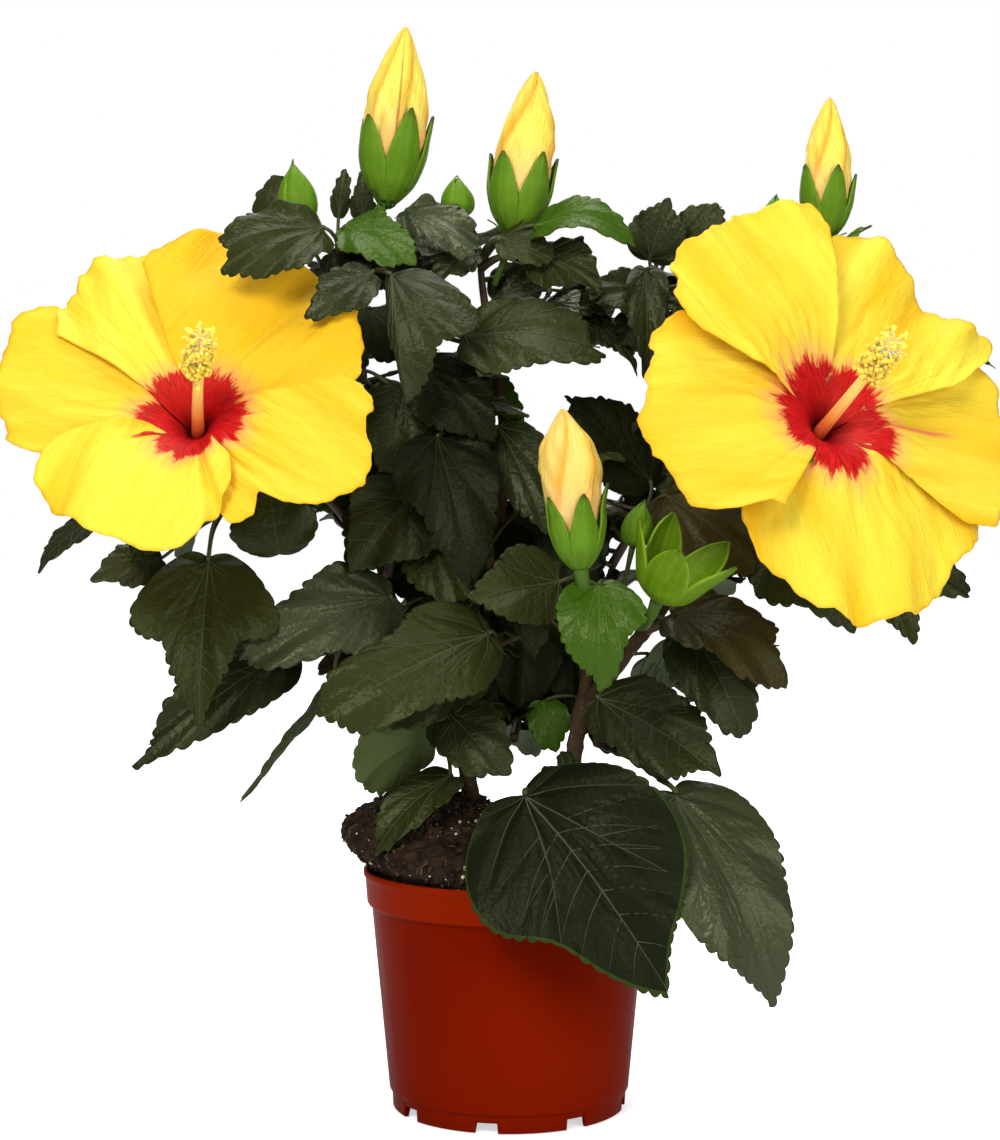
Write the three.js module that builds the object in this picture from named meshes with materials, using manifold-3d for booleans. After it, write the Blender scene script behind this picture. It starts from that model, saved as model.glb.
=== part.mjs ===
// A flowering hibiscus shrub in a plastic nursery pot, in millimetres, +Z up.
// The origin is the middle of the pot's flat underside. The two open blooms face -Y.

import * as THREE from 'three';
import { mergeVertices } from 'three/addons/utils/BufferGeometryUtils.js';
import Module from 'manifold-3d';

const wasm = await Module();
wasm.setup();

// ---- driving dimensions ----

const POT_HEIGHT = 98.5;
const RIM_RADIUS = 60;
const COLLAR_HEIGHT = 14;
const COLLAR_STEP = 1.9;
const WALL = 1.6;
const BODY_RADIUS_TOP = 56.6;
const BODY_RADIUS_LOW = 49.4;
const FOOT_HEIGHT = 7;
const FOOT_RADIUS = 48;
const FLOOR_UNDERSIDE = 3.5;
const FLOOR_TOP = 5.5;
const CENTRE_PAD_RADIUS = 16;
const NOTCH_COUNT = 8;
const NOTCH_WIDTH = 9;
const NOTCH_HEIGHT = 4.5;
const POT_SIDES = 16;

const GAP = 0.7; // clear space left between neighbouring solids
const SLIVER = 0.03; // triangles narrower than this are closed up after the cuts
const LEAF_THICKNESS = 2.4;
const STALK_RADIUS = 1.2;
const TWIG_RADIUS = 2.2;
const PETAL_THICKNESS = 2.4;
const PETAL_SIDES = 20;
const THROAT_DEPTH = 24;
const THROAT_REACH = 17;
const COLUMN_LENGTH = 66;
const COLUMN_RADIUS = 2.3;
const ANTHER_RADIUS = 8;
const CALYX_LENGTH = 24;

// rings round the root ball: radius and height on the right, then on the left, where it is highest
const SOIL_SIDES = 14;
const SOIL_RINGS = [
  [0, FLOOR_TOP + GAP, 0, FLOOR_TOP + GAP],
  [43, FLOOR_TOP + GAP, 43, FLOOR_TOP + GAP],
  [52.8, 82, 52.8, 82],
  [54.4, 94, 55.2, 98.5],
  [51, 97, 68, 112],
  [40, 101, 57, 124],
  [20, 109, 30, 131],
  [0, 121, 0, 121],
];

// the way that a leaf's upper side faces
const FRONT = [0, -1, 0.45];
const UPWARD = [0, -0.45, 1];
const LEFTWARD = [-0.8, -0.7, 0.5];
const RIGHTWARD = [0.8, -0.7, 0.5];
const BACKWARD = [0, 1, 0.6];

// ---- materials ----

const paint = (color, roughness) => new THREE.MeshStandardMaterial({ color, roughness, metalness: 0 });
const terracotta = paint('#a3300f', 0.4);
const peat = paint('#2e1c12', 0.95);
const bark = paint('#4a3122', 0.85);
const leafGreen = paint('#34422a', 0.5);
const yellow = paint('#f7d21e', 0.7);
const budGreen = paint('#6b8f1c', 0.6);

// ---- solids from three.js geometry ----

const vec = (p) => new THREE.Vector3(...p);

function solid(geometry) {
  const shell = geometry.clone();
  shell.deleteAttribute('normal');
  shell.deleteAttribute('uv');
  const merged = mergeVertices(shell, 1e-4);
  const mesh = new wasm.Mesh({
    numProp: 3,
    vertProperties: new Float32Array(merged.attributes.position.array),
    triVerts: new Uint32Array(merged.index.array),
  });
  return new wasm.Manifold(mesh);
}

function geometryOf(manifold) {
  const mesh = manifold.getMesh();
  const geometry = new THREE.BufferGeometry();
  geometry.setAttribute('position', new THREE.BufferAttribute(new Float32Array(mesh.vertProperties), 3));
  geometry.setIndex(new THREE.BufferAttribute(new Uint32Array(mesh.triVerts), 1));
  geometry.computeVertexNormals();
  return geometry;
}

const union = (parts) => parts.reduce((whole, part) => whole.add(part));

function biggestPiece(manifold) {
  const pieces = manifold.decompose();
  return pieces.reduce((best, piece) => (piece.volume() > best.volume() ? piece : best));
}

// moves every vertex of a geometry by a function of its place
function reshape(geometry, move) {
  const position = geometry.attributes.position;
  for (let i = 0; i < position.count; i += 1) {
    const to = move(new THREE.Vector3().fromBufferAttribute(position, i));
    position.setXYZ(i, to.x, to.y, to.z);
  }
  return geometry;
}

// two directions square to a direction, the first one nearest to a wanted one
function squareTo(along, wanted) {
  const first = wanted.clone().addScaledVector(along, -wanted.dot(along)).normalize();
  const second = first.clone().cross(along);
  return [first, second];
}

// a round tapering limb along a smooth route
function limb(route, footRadius, tipRadius, spare = 0, flare = 0, sides = 6) {
  const curve = new THREE.CatmullRomCurve3(route.map(vec));
  const steps = route.length - 1;
  const tube = new THREE.CylinderGeometry(1, 1, 1, sides, steps);
  return solid(reshape(tube, (p) => {
    const share = p.y + 0.5;
    const along = curve.getTangentAt(share);
    const [first, second] = squareTo(along, new THREE.Vector3(0.3, 1, 0.1));
    const radius = footRadius + (tipRadius - footRadius) * share + flare * (1 - share) ** 8 + spare;
    const end = Math.round(2 * share - 1); // -1 at the foot, 1 at the tip, 0 between them
    const at = curve.getPointAt(share).addScaledVector(along, Math.abs(2 * share - 1) > 0.99 ? end * spare : 0);
    return at.addScaledVector(first, p.x * radius).addScaledVector(second, p.z * radius);
  }));
}

// ---- leaves ----

// places along a blade, from its stalk (0) to its tip (1), each with its share of the whole width
const OVATE = [[0.28, 1], [0.72, 0.66], [1, 0.06]];
const POINTED = [[0.4, 1], [1, 0.06]]; // a small leaf
const SMALL_LEAF = 31; // the width under which a leaf is a small one

// one leaf: a square stalk from its root on the twig, then a blade that is arched along its length
function leafSolid({ from, to, wide, face, arch = 0.1 }, root, spare = 0) {
  const foot = vec(from);
  const along = vec(to).sub(foot);
  const long = along.length();
  along.normalize();
  const [normal, across] = squareTo(along, vec(face));
  const stalk = foot.clone().sub(root).normalize();
  const ends = [stalk, stalk.clone().add(along).normalize()].map((way) => squareTo(way, vec(face)));
  const thick = STALK_RADIUS + spare;
  const outline = wide < SMALL_LEAF ? POINTED : OVATE;
  const rows = outline.length + 1;
  const board = new THREE.BoxGeometry(2, 1, 1, 1, rows, 1);
  return solid(reshape(board, (p) => {
    const row = Math.round((p.y + 0.5) * rows);
    if (row < 2) {
      const [up, side] = ends[row];
      const end = row === 0 ? root.clone().addScaledVector(stalk, -spare) : foot.clone();
      return end.addScaledVector(side, -p.x * thick).addScaledVector(up, p.z * 2 * thick);
    }
    const [share, width] = outline[row - 2];
    const lift = arch * long * (4 * share * (1 - share) - 0.4) + p.z * (LEAF_THICKNESS + 2 * spare);
    return foot.clone()
      .addScaledVector(along, share * long + (row === rows ? spare : 0))
      .addScaledVector(across, -p.x * ((wide / 2) * width + spare))
      .addScaledVector(normal, lift);
  }));
}

const leaf = (from, to, wide, face, more = {}) => ({ from, to, wide, face, ...more });

// leaves set round a shoot by the golden angle, pointing out and drooping
function whorl({ shoot, count, long, wide, from = 0, turn = 0, side = null, droop = 0.35 }) {
  const curve = new THREE.CatmullRomCurve3(shoot.map(vec));
  const leaves = [];
  for (let i = 0; i < count; i += 1) {
    const share = from + ((1 - from) * (i + 0.5)) / count;
    const angle = THREE.MathUtils.degToRad(turn + 137.5 * i);
    const out = new THREE.Vector3(Math.cos(angle), Math.sin(angle), 0);
    if (side) {
      out.addScaledVector(vec(side), 1.1).normalize();
    }
    const size = 1 - 0.12 * Math.sin(2.3 * i);
    const start = curve.getPointAt(share).addScaledVector(out, 13);
    start.z += 5;
    const end = start.clone().addScaledVector(out, long * size);
    end.z -= droop * long * size;
    const face = [out.x * 0.6, out.y * 0.6, 1];
    leaves.push(leaf(start.toArray(), end.toArray(), wide * size, face));
  }
  return leaves;
}

// the middle of a limb's faceted tube, at a share of its length
function middleOf(route, share) {
  const curve = new THREE.CatmullRomCurve3(route.map(vec));
  const steps = route.length - 1;
  const step = Math.min(Math.floor(share * steps), steps - 1);
  return curve.getPointAt(step / steps).lerp(curve.getPointAt((step + 1) / steps), share * steps - step);
}

// the place on the twig where the stalk of a leaf or bud leaves it: the nearest one, and a little lower,
// each leaf in turn at a height of its own
function rootOn(twig, foot, turn) {
  let nearest = 0;
  let least = Infinity;
  for (let i = 0; i <= 40; i += 1) {
    const distance = middleOf(twig, i / 40).distanceTo(foot);
    if (distance < least) {
      least = distance;
      nearest = i / 40;
    }
  }
  return middleOf(twig, THREE.MathUtils.clamp(nearest - 0.05, 0.15, 0.93) - 0.03 * turn);
}

// a mass of leaves: a twig with the leaves and small buds that grow from it
function mass({ twig, leaves, buds = [] }, spare = 0) {
  const parts = [limb(twig, TWIG_RADIUS, TWIG_RADIUS * 0.7, spare, 0, 4)];
  leaves.forEach((each, turn) => {
    parts.push(leafSolid(each, rootOn(twig, vec(each.from), turn), spare));
  });
  for (const [base, tip, radius] of buds) {
    const root = rootOn(twig, vec(base), leaves.length).toArray();
    parts.push(limb([root, vec(base).lerp(vec(tip), 0.1).toArray()], STALK_RADIUS, STALK_RADIUS, spare, 0, 4));
    parts.push(budShape(vec(base), vec(tip), radius + spare, 5));
  }
  return union(parts);
}

// ---- buds and blooms ----

// half-width of a bud from its base to its point, as a share of its largest
const BUD_OUTLINE = [[0, 0.4], [0.2, 1], [0.5, 0.95], [0.8, 0.5]];

function budShape(base, tip, radius, sides = 6) {
  const long = base.distanceTo(tip);
  const outline = BUD_OUTLINE.map(([at, share]) => new THREE.Vector2(radius * share, at * long));
  const profile = [new THREE.Vector2(0, 0), ...outline, new THREE.Vector2(0, long)];
  const turned = new THREE.LatheGeometry(profile, sides);
  const upright = tip.clone().sub(base).normalize();
  const turn = new THREE.Quaternion().setFromUnitVectors(new THREE.Vector3(0, 1, 0), upright);
  return solid(reshape(turned, (p) => p.applyQuaternion(turn).add(base)));
}

function bud({ base, tip, radius, stem }, spare = 0) {
  const body = budShape(vec(base), vec(tip), radius + spare);
  const foot = vec(base).lerp(vec(tip), 0.06).toArray();
  return body.add(limb([...stem, foot], 1.6, 2.2, spare, 0, 6));
}

// the calyx that is left when a bloom has dropped: an open cup of five lobes
function openCalyx({ base, tip, radius, stem }, spare = 0) {
  const long = vec(base).distanceTo(vec(tip));
  const wall = 2;
  const outer = [[0, 0], [0.35, 0], [0.85, 0.3], [1, 0.8], [0.92, 1]];
  const inner = [[0.85, 0.98], [0.7, 0.42], [0, 0.22]];
  const profile = [
    ...outer.map(([r, at]) => new THREE.Vector2(r * (radius + spare), at * long)),
    ...inner.map(([r, at]) => new THREE.Vector2(r * (radius - wall), at * long)),
  ];
  const cup = new THREE.LatheGeometry(profile, 9);
  const upright = vec(tip).sub(vec(base)).normalize();
  const turn = new THREE.Quaternion().setFromUnitVectors(new THREE.Vector3(0, 1, 0), upright);
  const body = solid(reshape(cup, (p) => p.applyQuaternion(turn).add(vec(base))));
  const foot = vec(base).lerp(vec(tip), 0.08).toArray();
  return body.add(limb([...stem, foot], 1.6, 2.2, spare, 0, 6));
}

// how far the petals have risen out of the throat at a distance from the bloom's axis
const dish = (radius) => THROAT_DEPTH * (1 - Math.exp(-radius / THROAT_REACH));

// the bloom's outline: at an angle round its axis, the furthest that any of its petals reaches
function reachAt(petals, angle) {
  const reaches = petals.map(([middle, long, wide]) => {
    const off = Math.abs(THREE.MathUtils.euclideanModulo(angle - middle + 180, 360) - 180);
    const halfAngle = THREE.MathUtils.radToDeg(Math.atan(wide / 2 / (0.72 * long))) * 1.25;
    return long * Math.sqrt(Math.max(0.05, 1 - (off / halfAngle) ** 3));
  });
  return Math.max(...reaches);
}

// the five petals as one thin dish, deep in the throat and nearly flat outside
function petalDish({ middle, right, up, axis }, petals, spare) {
  const rings = [0, 0.3, 1];
  const half = PETAL_THICKNESS / 2 + spare;
  const profile = [
    ...rings.map((share) => new THREE.Vector2(share, -half)),
    ...rings.toReversed().map((share) => new THREE.Vector2(share, half)),
  ];
  const disc = new THREE.LatheGeometry(profile, PETAL_SIDES);
  return solid(reshape(disc, (p) => {
    const share = Math.hypot(p.x, p.z);
    const turn = Math.atan2(-p.z, p.x);
    const reach = share * (reachAt(petals, THREE.MathUtils.radToDeg(turn)) + spare);
    return middle.clone()
      .addScaledVector(right, reach * Math.cos(turn))
      .addScaledVector(up, reach * Math.sin(turn))
      .addScaledVector(axis, dish(reach) + p.y);
  }));
}

function bloom({ throat, face, petals, stem }, spare = 0) {
  const axis = vec(face).normalize();
  const [up] = squareTo(axis, new THREE.Vector3(0, 0, 1));
  const right = up.clone().cross(axis);
  const middle = vec(throat);
  const frame = { middle, right, up, axis };
  const place = (distance) => middle.clone().addScaledVector(axis, distance).toArray();
  const column = limb([place(-2), place(COLUMN_LENGTH / 2), place(COLUMN_LENGTH)],
    COLUMN_RADIUS * 1.3, COLUMN_RADIUS, spare, 0, 6);
  const anthers = new THREE.SphereGeometry(ANTHER_RADIUS + spare, 6, 4);
  const cluster = vec(place(COLUMN_LENGTH - 9));
  const calyx = limb([place(-CALYX_LENGTH), place(-CALYX_LENGTH / 2), place(5)], 5, 9, spare, 0, 7);
  return union([
    column,
    solid(reshape(anthers, (p) => p.add(cluster))),
    calyx,
    limb([...stem, place(-CALYX_LENGTH + 3)], 1.6, 2.4, spare, 0, 6),
    petalDish(frame, petals, spare),
  ]);
}

// ---- pot and soil ----

// a moulded pot: collar under the rim, tapering body, foot ring and a floor with a centre pad
function potSolid(spare = 0) {
  const collarFoot = POT_HEIGHT - COLLAR_HEIGHT;
  const profile = [
    [0, -spare],
    [CENTRE_PAD_RADIUS + spare, -spare],
    [CENTRE_PAD_RADIUS + 1 + spare, FLOOR_UNDERSIDE - spare],
    [FOOT_RADIUS - WALL - 0.6 - spare, FLOOR_UNDERSIDE - spare],
    [FOOT_RADIUS - WALL - spare, -spare],
    [FOOT_RADIUS + spare, -spare],
    [FOOT_RADIUS + 0.4 + spare, FOOT_HEIGHT - spare],
    [BODY_RADIUS_LOW + spare, FOOT_HEIGHT + 0.6 - spare],
    [BODY_RADIUS_TOP + spare, collarFoot - 1 - spare],
    [BODY_RADIUS_TOP + COLLAR_STEP + spare, collarFoot - spare],
    [RIM_RADIUS + spare, POT_HEIGHT + spare],
    [RIM_RADIUS - WALL - spare, POT_HEIGHT + spare],
    [BODY_RADIUS_TOP - WALL - spare, collarFoot],
    [FOOT_RADIUS - WALL - spare, FLOOR_TOP + spare],
    [0, FLOOR_TOP + spare],
  ];
  const turned = new THREE.LatheGeometry(profile.map(([r, z]) => new THREE.Vector2(r, z)), POT_SIDES);
  turned.rotateX(Math.PI / 2);
  return solid(turned);
}

function pot() {
  let shell = potSolid();
  for (let i = 0; i < NOTCH_COUNT; i += 1) {
    const notch = new THREE.BoxGeometry(8, NOTCH_WIDTH, NOTCH_HEIGHT * 2);
    notch.translate(FOOT_RADIUS, 0, 0);
    notch.rotateZ((i + 0.5) * (2 * Math.PI / NOTCH_COUNT) + 0.2);
    shell = shell.subtract(solid(notch));
  }
  return shell;
}

// the root ball fills the pot, and its peat rises to a mound that leans out over the rim on the left
function soil() {
  const ball = new THREE.LatheGeometry(SOIL_RINGS.map((ring, i) => new THREE.Vector2(ring[0], i)), SOIL_SIDES);
  ball.rotateX(Math.PI / 2);
  return solid(reshape(ball, (p) => {
    const turn = Math.atan2(p.y, p.x);
    const lean = ((1 - Math.cos(turn)) / 2) ** 2.5;
    const [right, low, left, high] = SOIL_RINGS[Math.round(p.z)];
    const uneven = p.z > 4 ? 1.3 * Math.sin(3 * turn + p.z) * Math.min(1, right) : 0;
    const radius = right + (left - right) * lean;
    return new THREE.Vector3(radius * Math.cos(turn), radius * Math.sin(turn), low + (high - low) * lean + uneven);
  }));
}

// ---- the plant ----

const STEMS = {
  stem_left: {
    route: [[-14, 5, 118], [-17, 4, 134], [-19, 4, 152], [-21, 4, 169]], foot: 3.4, tip: 2.9, flare: 1.6,
  },
  stem_right: {
    route: [[24, 3, 97], [25, 2, 118], [26, 2, 136], [28, 2, 152], [31, 2, 168]], foot: 3.5, tip: 3.4, flare: 2,
  },
};

const BOUGHS = {
  bough_left: { route: [[-25, 4, 160], [-36, 3, 184], [-48, 5, 208], [-54, 6, 226]], foot: 2.6, tip: 2.2 },
  bough_centre: {
    route: [[-17, 6.5, 163], [-12, 10, 190], [-5, 12, 230], [-2, 10, 270], [-4, 8, 300]], foot: 2.7, tip: 2.1,
  },
  bough_middle: { route: [[31.5, 3, 173], [32, 6, 196], [34, 8, 222], [38, 8, 240]], foot: 2.6, tip: 2.2 },
  bough_right: {
    route: [[35.5, 0, 170], [46, -4, 184], [61, -8, 204], [74, -4, 222], [84, 4, 240]], foot: 3.3, tip: 2.6,
  },
};

const BLOOMS = {
  bloom_left: {
    throat: [-121, -45, 273],
    face: [-0.08, -0.82, 0.56],
    petals: [[128, 82, 66], [62, 84, 84], [-8, 74, 68], [-97, 66, 84], [166, 82, 74]],
    stem: [[-66, 6, 300], [-84, 2, 276], [-104, -8, 262]],
  },
  bloom_right: {
    throat: [118, -45, 273],
    face: [0.38, -0.78, 0.5],
    petals: [[108, 84, 66], [50, 84, 78], [-6, 82, 72], [-74, 76, 84], [182, 74, 72]],
    stem: [[92, 6, 262], [96, 0, 262], [100, -10, 258]],
  },
};

const BUDS = {
  bud_top_left: { base: [-50, 0, 371], tip: [-42, 0, 442], radius: 13.4, stem: [[-66, 1, 352], [-58, 1, 361]] },
  bud_top_centre: { base: [2, 0, 358], tip: [11, 0, 424], radius: 13, stem: [[-6, 5, 338], [-2, 3, 348]] },
  bud_top_right: { base: [130, 10, 357], tip: [132, 10, 415], radius: 10.6, stem: [[124, 14, 338], [127, 12, 347]] },
  bud_front: { base: [27, -70, 224], tip: [20, -72, 285], radius: 13, stem: [[31, -6, 204], [31, -40, 204], [29, -64, 214]] },
};

const SPENT_CALYX = {
  base: [57, -60, 211], tip: [72, -60, 242], radius: 17, stem: [[50, -12, 198], [54, -34, 200], [55, -52, 205]],
};

const MASSES = {
  foliage_front: {
    twig: [[20, -4, 128], [12, -26, 132], [7, -44, 136]],
    leaves: [leaf([6, -52, 136], [60, -86, 64], 78, FRONT, { arch: 0.14 })],
  },
  foliage_front_right: {
    twig: [[36, -2, 150], [50, -22, 146], [62, -36, 138]],
    leaves: [leaf([66, -44, 134], [99, -74, 60], 46, RIGHTWARD, { arch: 0.16 })],
  },
  foliage_middle: {
    twig: [[44, -10, 192], [42, -26, 198], [40, -44, 206]],
    leaves: [leaf([35, -56, 214], [35, -68, 176], 34, FRONT)],
    buds: [[[48, -48, 232], [53, -48, 250], 6]],
  },
  foliage_lower_right: {
    twig: [[37, 6, 158], [37, 8, 166], [36, 12, 178]],
    leaves: [
      leaf([40, -12, 168], [84, -40, 144], 34, FRONT),
      leaf([36, 14, 158], [62, 16, 144], 22, FRONT),
      leaf([14, 6, 166], [20, 2, 144], 18, FRONT),
      leaf([58, 12, 186], [86, 36, 168], 30, BACKWARD),
    ],
  },
  foliage_right_low: {
    twig: [[56, -12, 197], [63, -17, 200], [70, -20, 202]],
    leaves: [
      leaf([73, -26, 204], [114, -42, 180], 34, UPWARD),
      leaf([74, -16, 198], [99, -30, 158], 34, FRONT),
    ],
  },
  foliage_left: {
    twig: [[-59, 4, 219], [-82, -8, 226], [-104, -16, 226], [-128, -16, 226]],
    leaves: [
      leaf([-120, -30, 226], [-122, -50, 162], 58, FRONT),
      leaf([-84, -12, 231], [-92, -6, 256], 32, FRONT),
      leaf([-166, -8, 244], [-190, -18, 224], 22, LEFTWARD),
      leaf([-142, -8, 226], [-168, -20, 219], 20, FRONT),
    ],
  },
  foliage_mid_left: {
    twig: [[-4, 4, 186], [-5, -12, 190], [-6, -28, 196]],
    leaves: [
      leaf([-8, -36, 198], [-76, -64, 166], 42, FRONT),
      leaf([-12, -14, 182], [-66, -24, 160], 30, FRONT),
    ],
  },
  foliage_lower_left: {
    twig: [[-30, 0, 178], [-42, -4, 184], [-60, -8, 190], [-76, -8, 188]],
    leaves: [
      leaf([-92, -10, 188], [-150, -36, 145], 32, FRONT),
      leaf([-50, -22, 212], [-108, -48, 186], 34, FRONT),
      leaf([-72, -2, 172], [-109, -20, 127], 24, [-1, 0.3, 0.8]),
    ],
  },
  foliage_low: {
    twig: [[-24, 1, 158], [-27, -8, 158], [-28, -14, 156]],
    leaves: [
      leaf([-33, -12, 155], [-62, -28, 138], 34, [0.2, 0.9, 0.6]),
      leaf([-26, -20, 166], [-2, -38, 141], 30, FRONT),
      leaf([-24, -24, 140], [-54, -40, 112], 24, UPWARD),
    ],
  },
  foliage_centre: {
    twig: [[-8, 6, 222], [-9, -6, 240], [-14, -8, 262], [-23, -2, 288]],
    leaves: [
      leaf([-29, -18, 276], [-16, -46, 219], 38, FRONT),
      leaf([-30, -4, 294], [-12, -22, 268], 26, FRONT),
      leaf([-4, -6, 280], [15, -30, 238], 28, FRONT),
      leaf([-32, -12, 238], [-22, -34, 205], 26, FRONT),
    ],
  },
  foliage_centre_left: {
    twig: [[-50, 1, 218], [-47, -1, 232], [-44, 0, 246], [-46, 6, 284]],
    leaves: [
      leaf([-44, 0, 250], [-66, -16, 216], 34, FRONT),
      leaf([-54, 6, 294], [-34, 2, 274], 20, FRONT),
    ],
  },
  foliage_centre_right: {
    twig: [[42, 4, 222], [50, -2, 236], [58, -4, 248]],
    leaves: [
      leaf([22, -32, 218], [-12, -54, 214], 28, UPWARD),
      leaf([58, -4, 258], [22, -8, 292], 32, FRONT),
      leaf([64, -10, 252], [100, -20, 224], 40, FRONT),
    ],
  },
  foliage_top_left: {
    twig: [[-56, 7, 230], [-62, 8, 270], [-66, 6, 310], [-71, 0, 349]],
    leaves: [
      leaf([-73, -8, 356], [-115, -22, 346], 28, UPWARD),
      leaf([-90, 12, 365], [-109, 18, 372], 18, FRONT),
      leaf([-65, -12, 360], [-37, -26, 345], 22, FRONT),
      leaf([-60, -20, 336], [-36, -36, 292], 40, FRONT),
      leaf([-58, 18, 330], [-40, 58, 306], 36, BACKWARD),
      leaf([-76, 22, 332], [-102, 48, 324], 32, BACKWARD),
    ],
    buds: [[[-85, 0, 362], [-88, 0, 388], 7.5]],
  },
  foliage_top_centre: {
    twig: [[-5, 7, 305], [-8, 6, 318], [-11, 5, 338], [-12, 4, 352]],
    leaves: [
      leaf([-20, 0, 355], [-46, -12, 368], 16, UPWARD),
      leaf([9, -16, 360], [48, -20, 355], 22, UPWARD),
      leaf([14, -4, 348], [33, -22, 334], 20, FRONT),
      leaf([-6, 8, 333], [17, 14, 345], 15, FRONT),
    ],
    buds: [[[-21, 0, 365], [-21, 0, 382], 6.6]],
  },
  foliage_upper_centre: {
    twig: [[-8, 3, 311], [-13, -2, 313], [-17, -8, 316]],
    leaves: [
      leaf([-18, -10, 317], [38, -24, 313], 36, FRONT, { arch: 0.08 }),
      leaf([28, 8, 330], [54, 0, 303], 14, UPWARD),
    ],
  },
  foliage_top_right: {
    twig: [[42, 9, 246], [56, 12, 284], [61, 12, 318], [58, 10, 344]],
    leaves: [
      leaf([28, 4, 334], [64, -4, 344], 14, UPWARD),
      leaf([56, -2, 344], [56, -10, 302], 18, FRONT),
      leaf([60, 12, 350], [64, 10, 372], 20, FRONT),
      leaf([64, 18, 362], [88, 24, 370], 14, UPWARD),
      leaf([70, 24, 330], [84, 66, 306], 38, BACKWARD),
    ],
  },
  foliage_right_top: {
    twig: [[86, 7, 244], [98, 16, 270], [114, 18, 304], [123, 15, 334]],
    leaves: [
      leaf([134, 12, 350], [149, 8, 364], 7, UPWARD),
      leaf([150, 6, 318], [200, 2, 307], 30, UPWARD),
      leaf([126, 32, 320], [158, 66, 296], 40, BACKWARD),
      leaf([98, 36, 298], [96, 84, 272], 42, BACKWARD),
    ],
    buds: [[[108, 8, 361], [110, 8, 375], 4.6]],
  },
  foliage_right_under: {
    twig: [[88, 6, 238], [104, 4, 232], [124, 4, 230], [142, 4, 228]],
    leaves: [
      leaf([108, -6, 238], [140, -20, 199], 46, FRONT),
      leaf([152, 0, 220], [166, -10, 192], 18, FRONT),
      leaf([158, 6, 226], [190, 0, 212], 22, FRONT),
      leaf([128, 20, 236], [150, 58, 214], 40, BACKWARD),
    ],
  },
};

const BACK_SHOOTS = {
  foliage_back_left: {
    shoot: [[-62, 12, 236], [-78, 28, 258], [-94, 38, 280], [-100, 44, 298]],
    count: 6, long: 54, wide: 42, turn: 60, side: [-0.1, 1, 0],
  },
  foliage_back_centre: {
    shoot: [[-8, 18, 196], [-12, 32, 222], [-10, 44, 250], [-6, 50, 276]],
    count: 5, long: 52, wide: 40, turn: 20, side: [0, 1, 0],
  },
  foliage_back_right: {
    shoot: [[78, 6, 212], [92, 24, 222], [108, 38, 236], [120, 48, 256]],
    count: 5, long: 52, wide: 40, turn: 100, side: [0.2, 1, 0],
  },
  foliage_back_low: {
    shoot: [[2, 12, 150], [4, 30, 158], [2, 44, 170]],
    count: 4, long: 52, wide: 40, turn: 75, side: [0, 1, 0],
  },
};

// each solid is cut back round the solids made before it, so that no two touch
const pieces = [];

function place(name, material, make) {
  let shape = make(0);
  for (const earlier of pieces) {
    shape = shape.subtract(earlier.room);
  }
  pieces.push({ name, material, shape: biggestPiece(shape.simplify(SLIVER)), room: make(GAP) });
}

pieces.push({ name: 'pot', material: terracotta, shape: pot(), room: potSolid(GAP) });

for (const [name, { route, foot, tip, flare }] of Object.entries(STEMS)) {
  place(name, bark, (spare) => {
    const longer = spare > 0 ? [[route[0][0], route[0][1], route[0][2] - spare], ...route.slice(1)] : route;
    return limb(longer, foot, tip, spare, flare, 8);
  });
}

place('soil', peat, (spare) => (spare > 0 ? soil().translate([0, 0, spare]) : soil()));

for (const [name, { route, foot, tip }] of Object.entries(BOUGHS)) {
  place(name, bark, (spare) => limb(route, foot, tip, spare, 0, 8));
}

for (const [name, spec] of Object.entries(BLOOMS)) {
  place(name, yellow, (spare) => bloom(spec, spare));
}

for (const [name, spec] of Object.entries(BUDS)) {
  place(name, budGreen, (spare) => bud(spec, spare));
}

place('spent_calyx', budGreen, (spare) => openCalyx(SPENT_CALYX, spare));

for (const [name, spec] of Object.entries(MASSES)) {
  place(name, leafGreen, (spare) => mass(spec, spare));
}

for (const [name, spec] of Object.entries(BACK_SHOOTS)) {
  place(name, leafGreen, (spare) => mass({ twig: spec.shoot, leaves: whorl(spec) }, spare));
}

const group = new THREE.Group();
for (const { name, material, shape } of pieces) {
  const mesh = new THREE.Mesh(geometryOf(shape), material);
  mesh.name = name;
  group.add(mesh);
}

export default group;
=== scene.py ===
"""The looks of a potted hibiscus shrub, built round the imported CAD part.

Shapes are worked out in millimetres in the part's own frame, +Z up and the blooms towards -Y,
and turned into metres when a mesh is made.
"""

import math

import bpy
import numpy as np
from mathutils import Matrix


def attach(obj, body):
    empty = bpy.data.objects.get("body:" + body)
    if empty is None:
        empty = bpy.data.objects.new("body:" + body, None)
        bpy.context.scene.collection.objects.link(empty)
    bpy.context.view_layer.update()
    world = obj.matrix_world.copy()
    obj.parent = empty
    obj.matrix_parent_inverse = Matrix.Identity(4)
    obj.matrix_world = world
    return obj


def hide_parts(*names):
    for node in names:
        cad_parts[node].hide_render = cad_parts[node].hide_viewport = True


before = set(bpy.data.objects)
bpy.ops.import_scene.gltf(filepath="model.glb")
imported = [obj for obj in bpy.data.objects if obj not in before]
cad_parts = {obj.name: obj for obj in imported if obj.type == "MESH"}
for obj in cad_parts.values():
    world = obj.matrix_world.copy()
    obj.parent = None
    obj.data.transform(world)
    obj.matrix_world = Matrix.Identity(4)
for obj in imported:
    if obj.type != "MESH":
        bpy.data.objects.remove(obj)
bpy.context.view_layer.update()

MM = 0.001
SEED = 11
GOLDEN_ANGLE = 137.5  # degrees from one leaf or filament round its stalk to the next

# the photograph's camera: its place, how far down it looks, and its lens and sensor in mm
EYE = (-3.7, -957.0, 262.0)
EYE_DOWN = math.radians(2.46)
LENS = 73.58
SENSOR = 36.0

# ---- pot and soil, as in the CAD part ----

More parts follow.
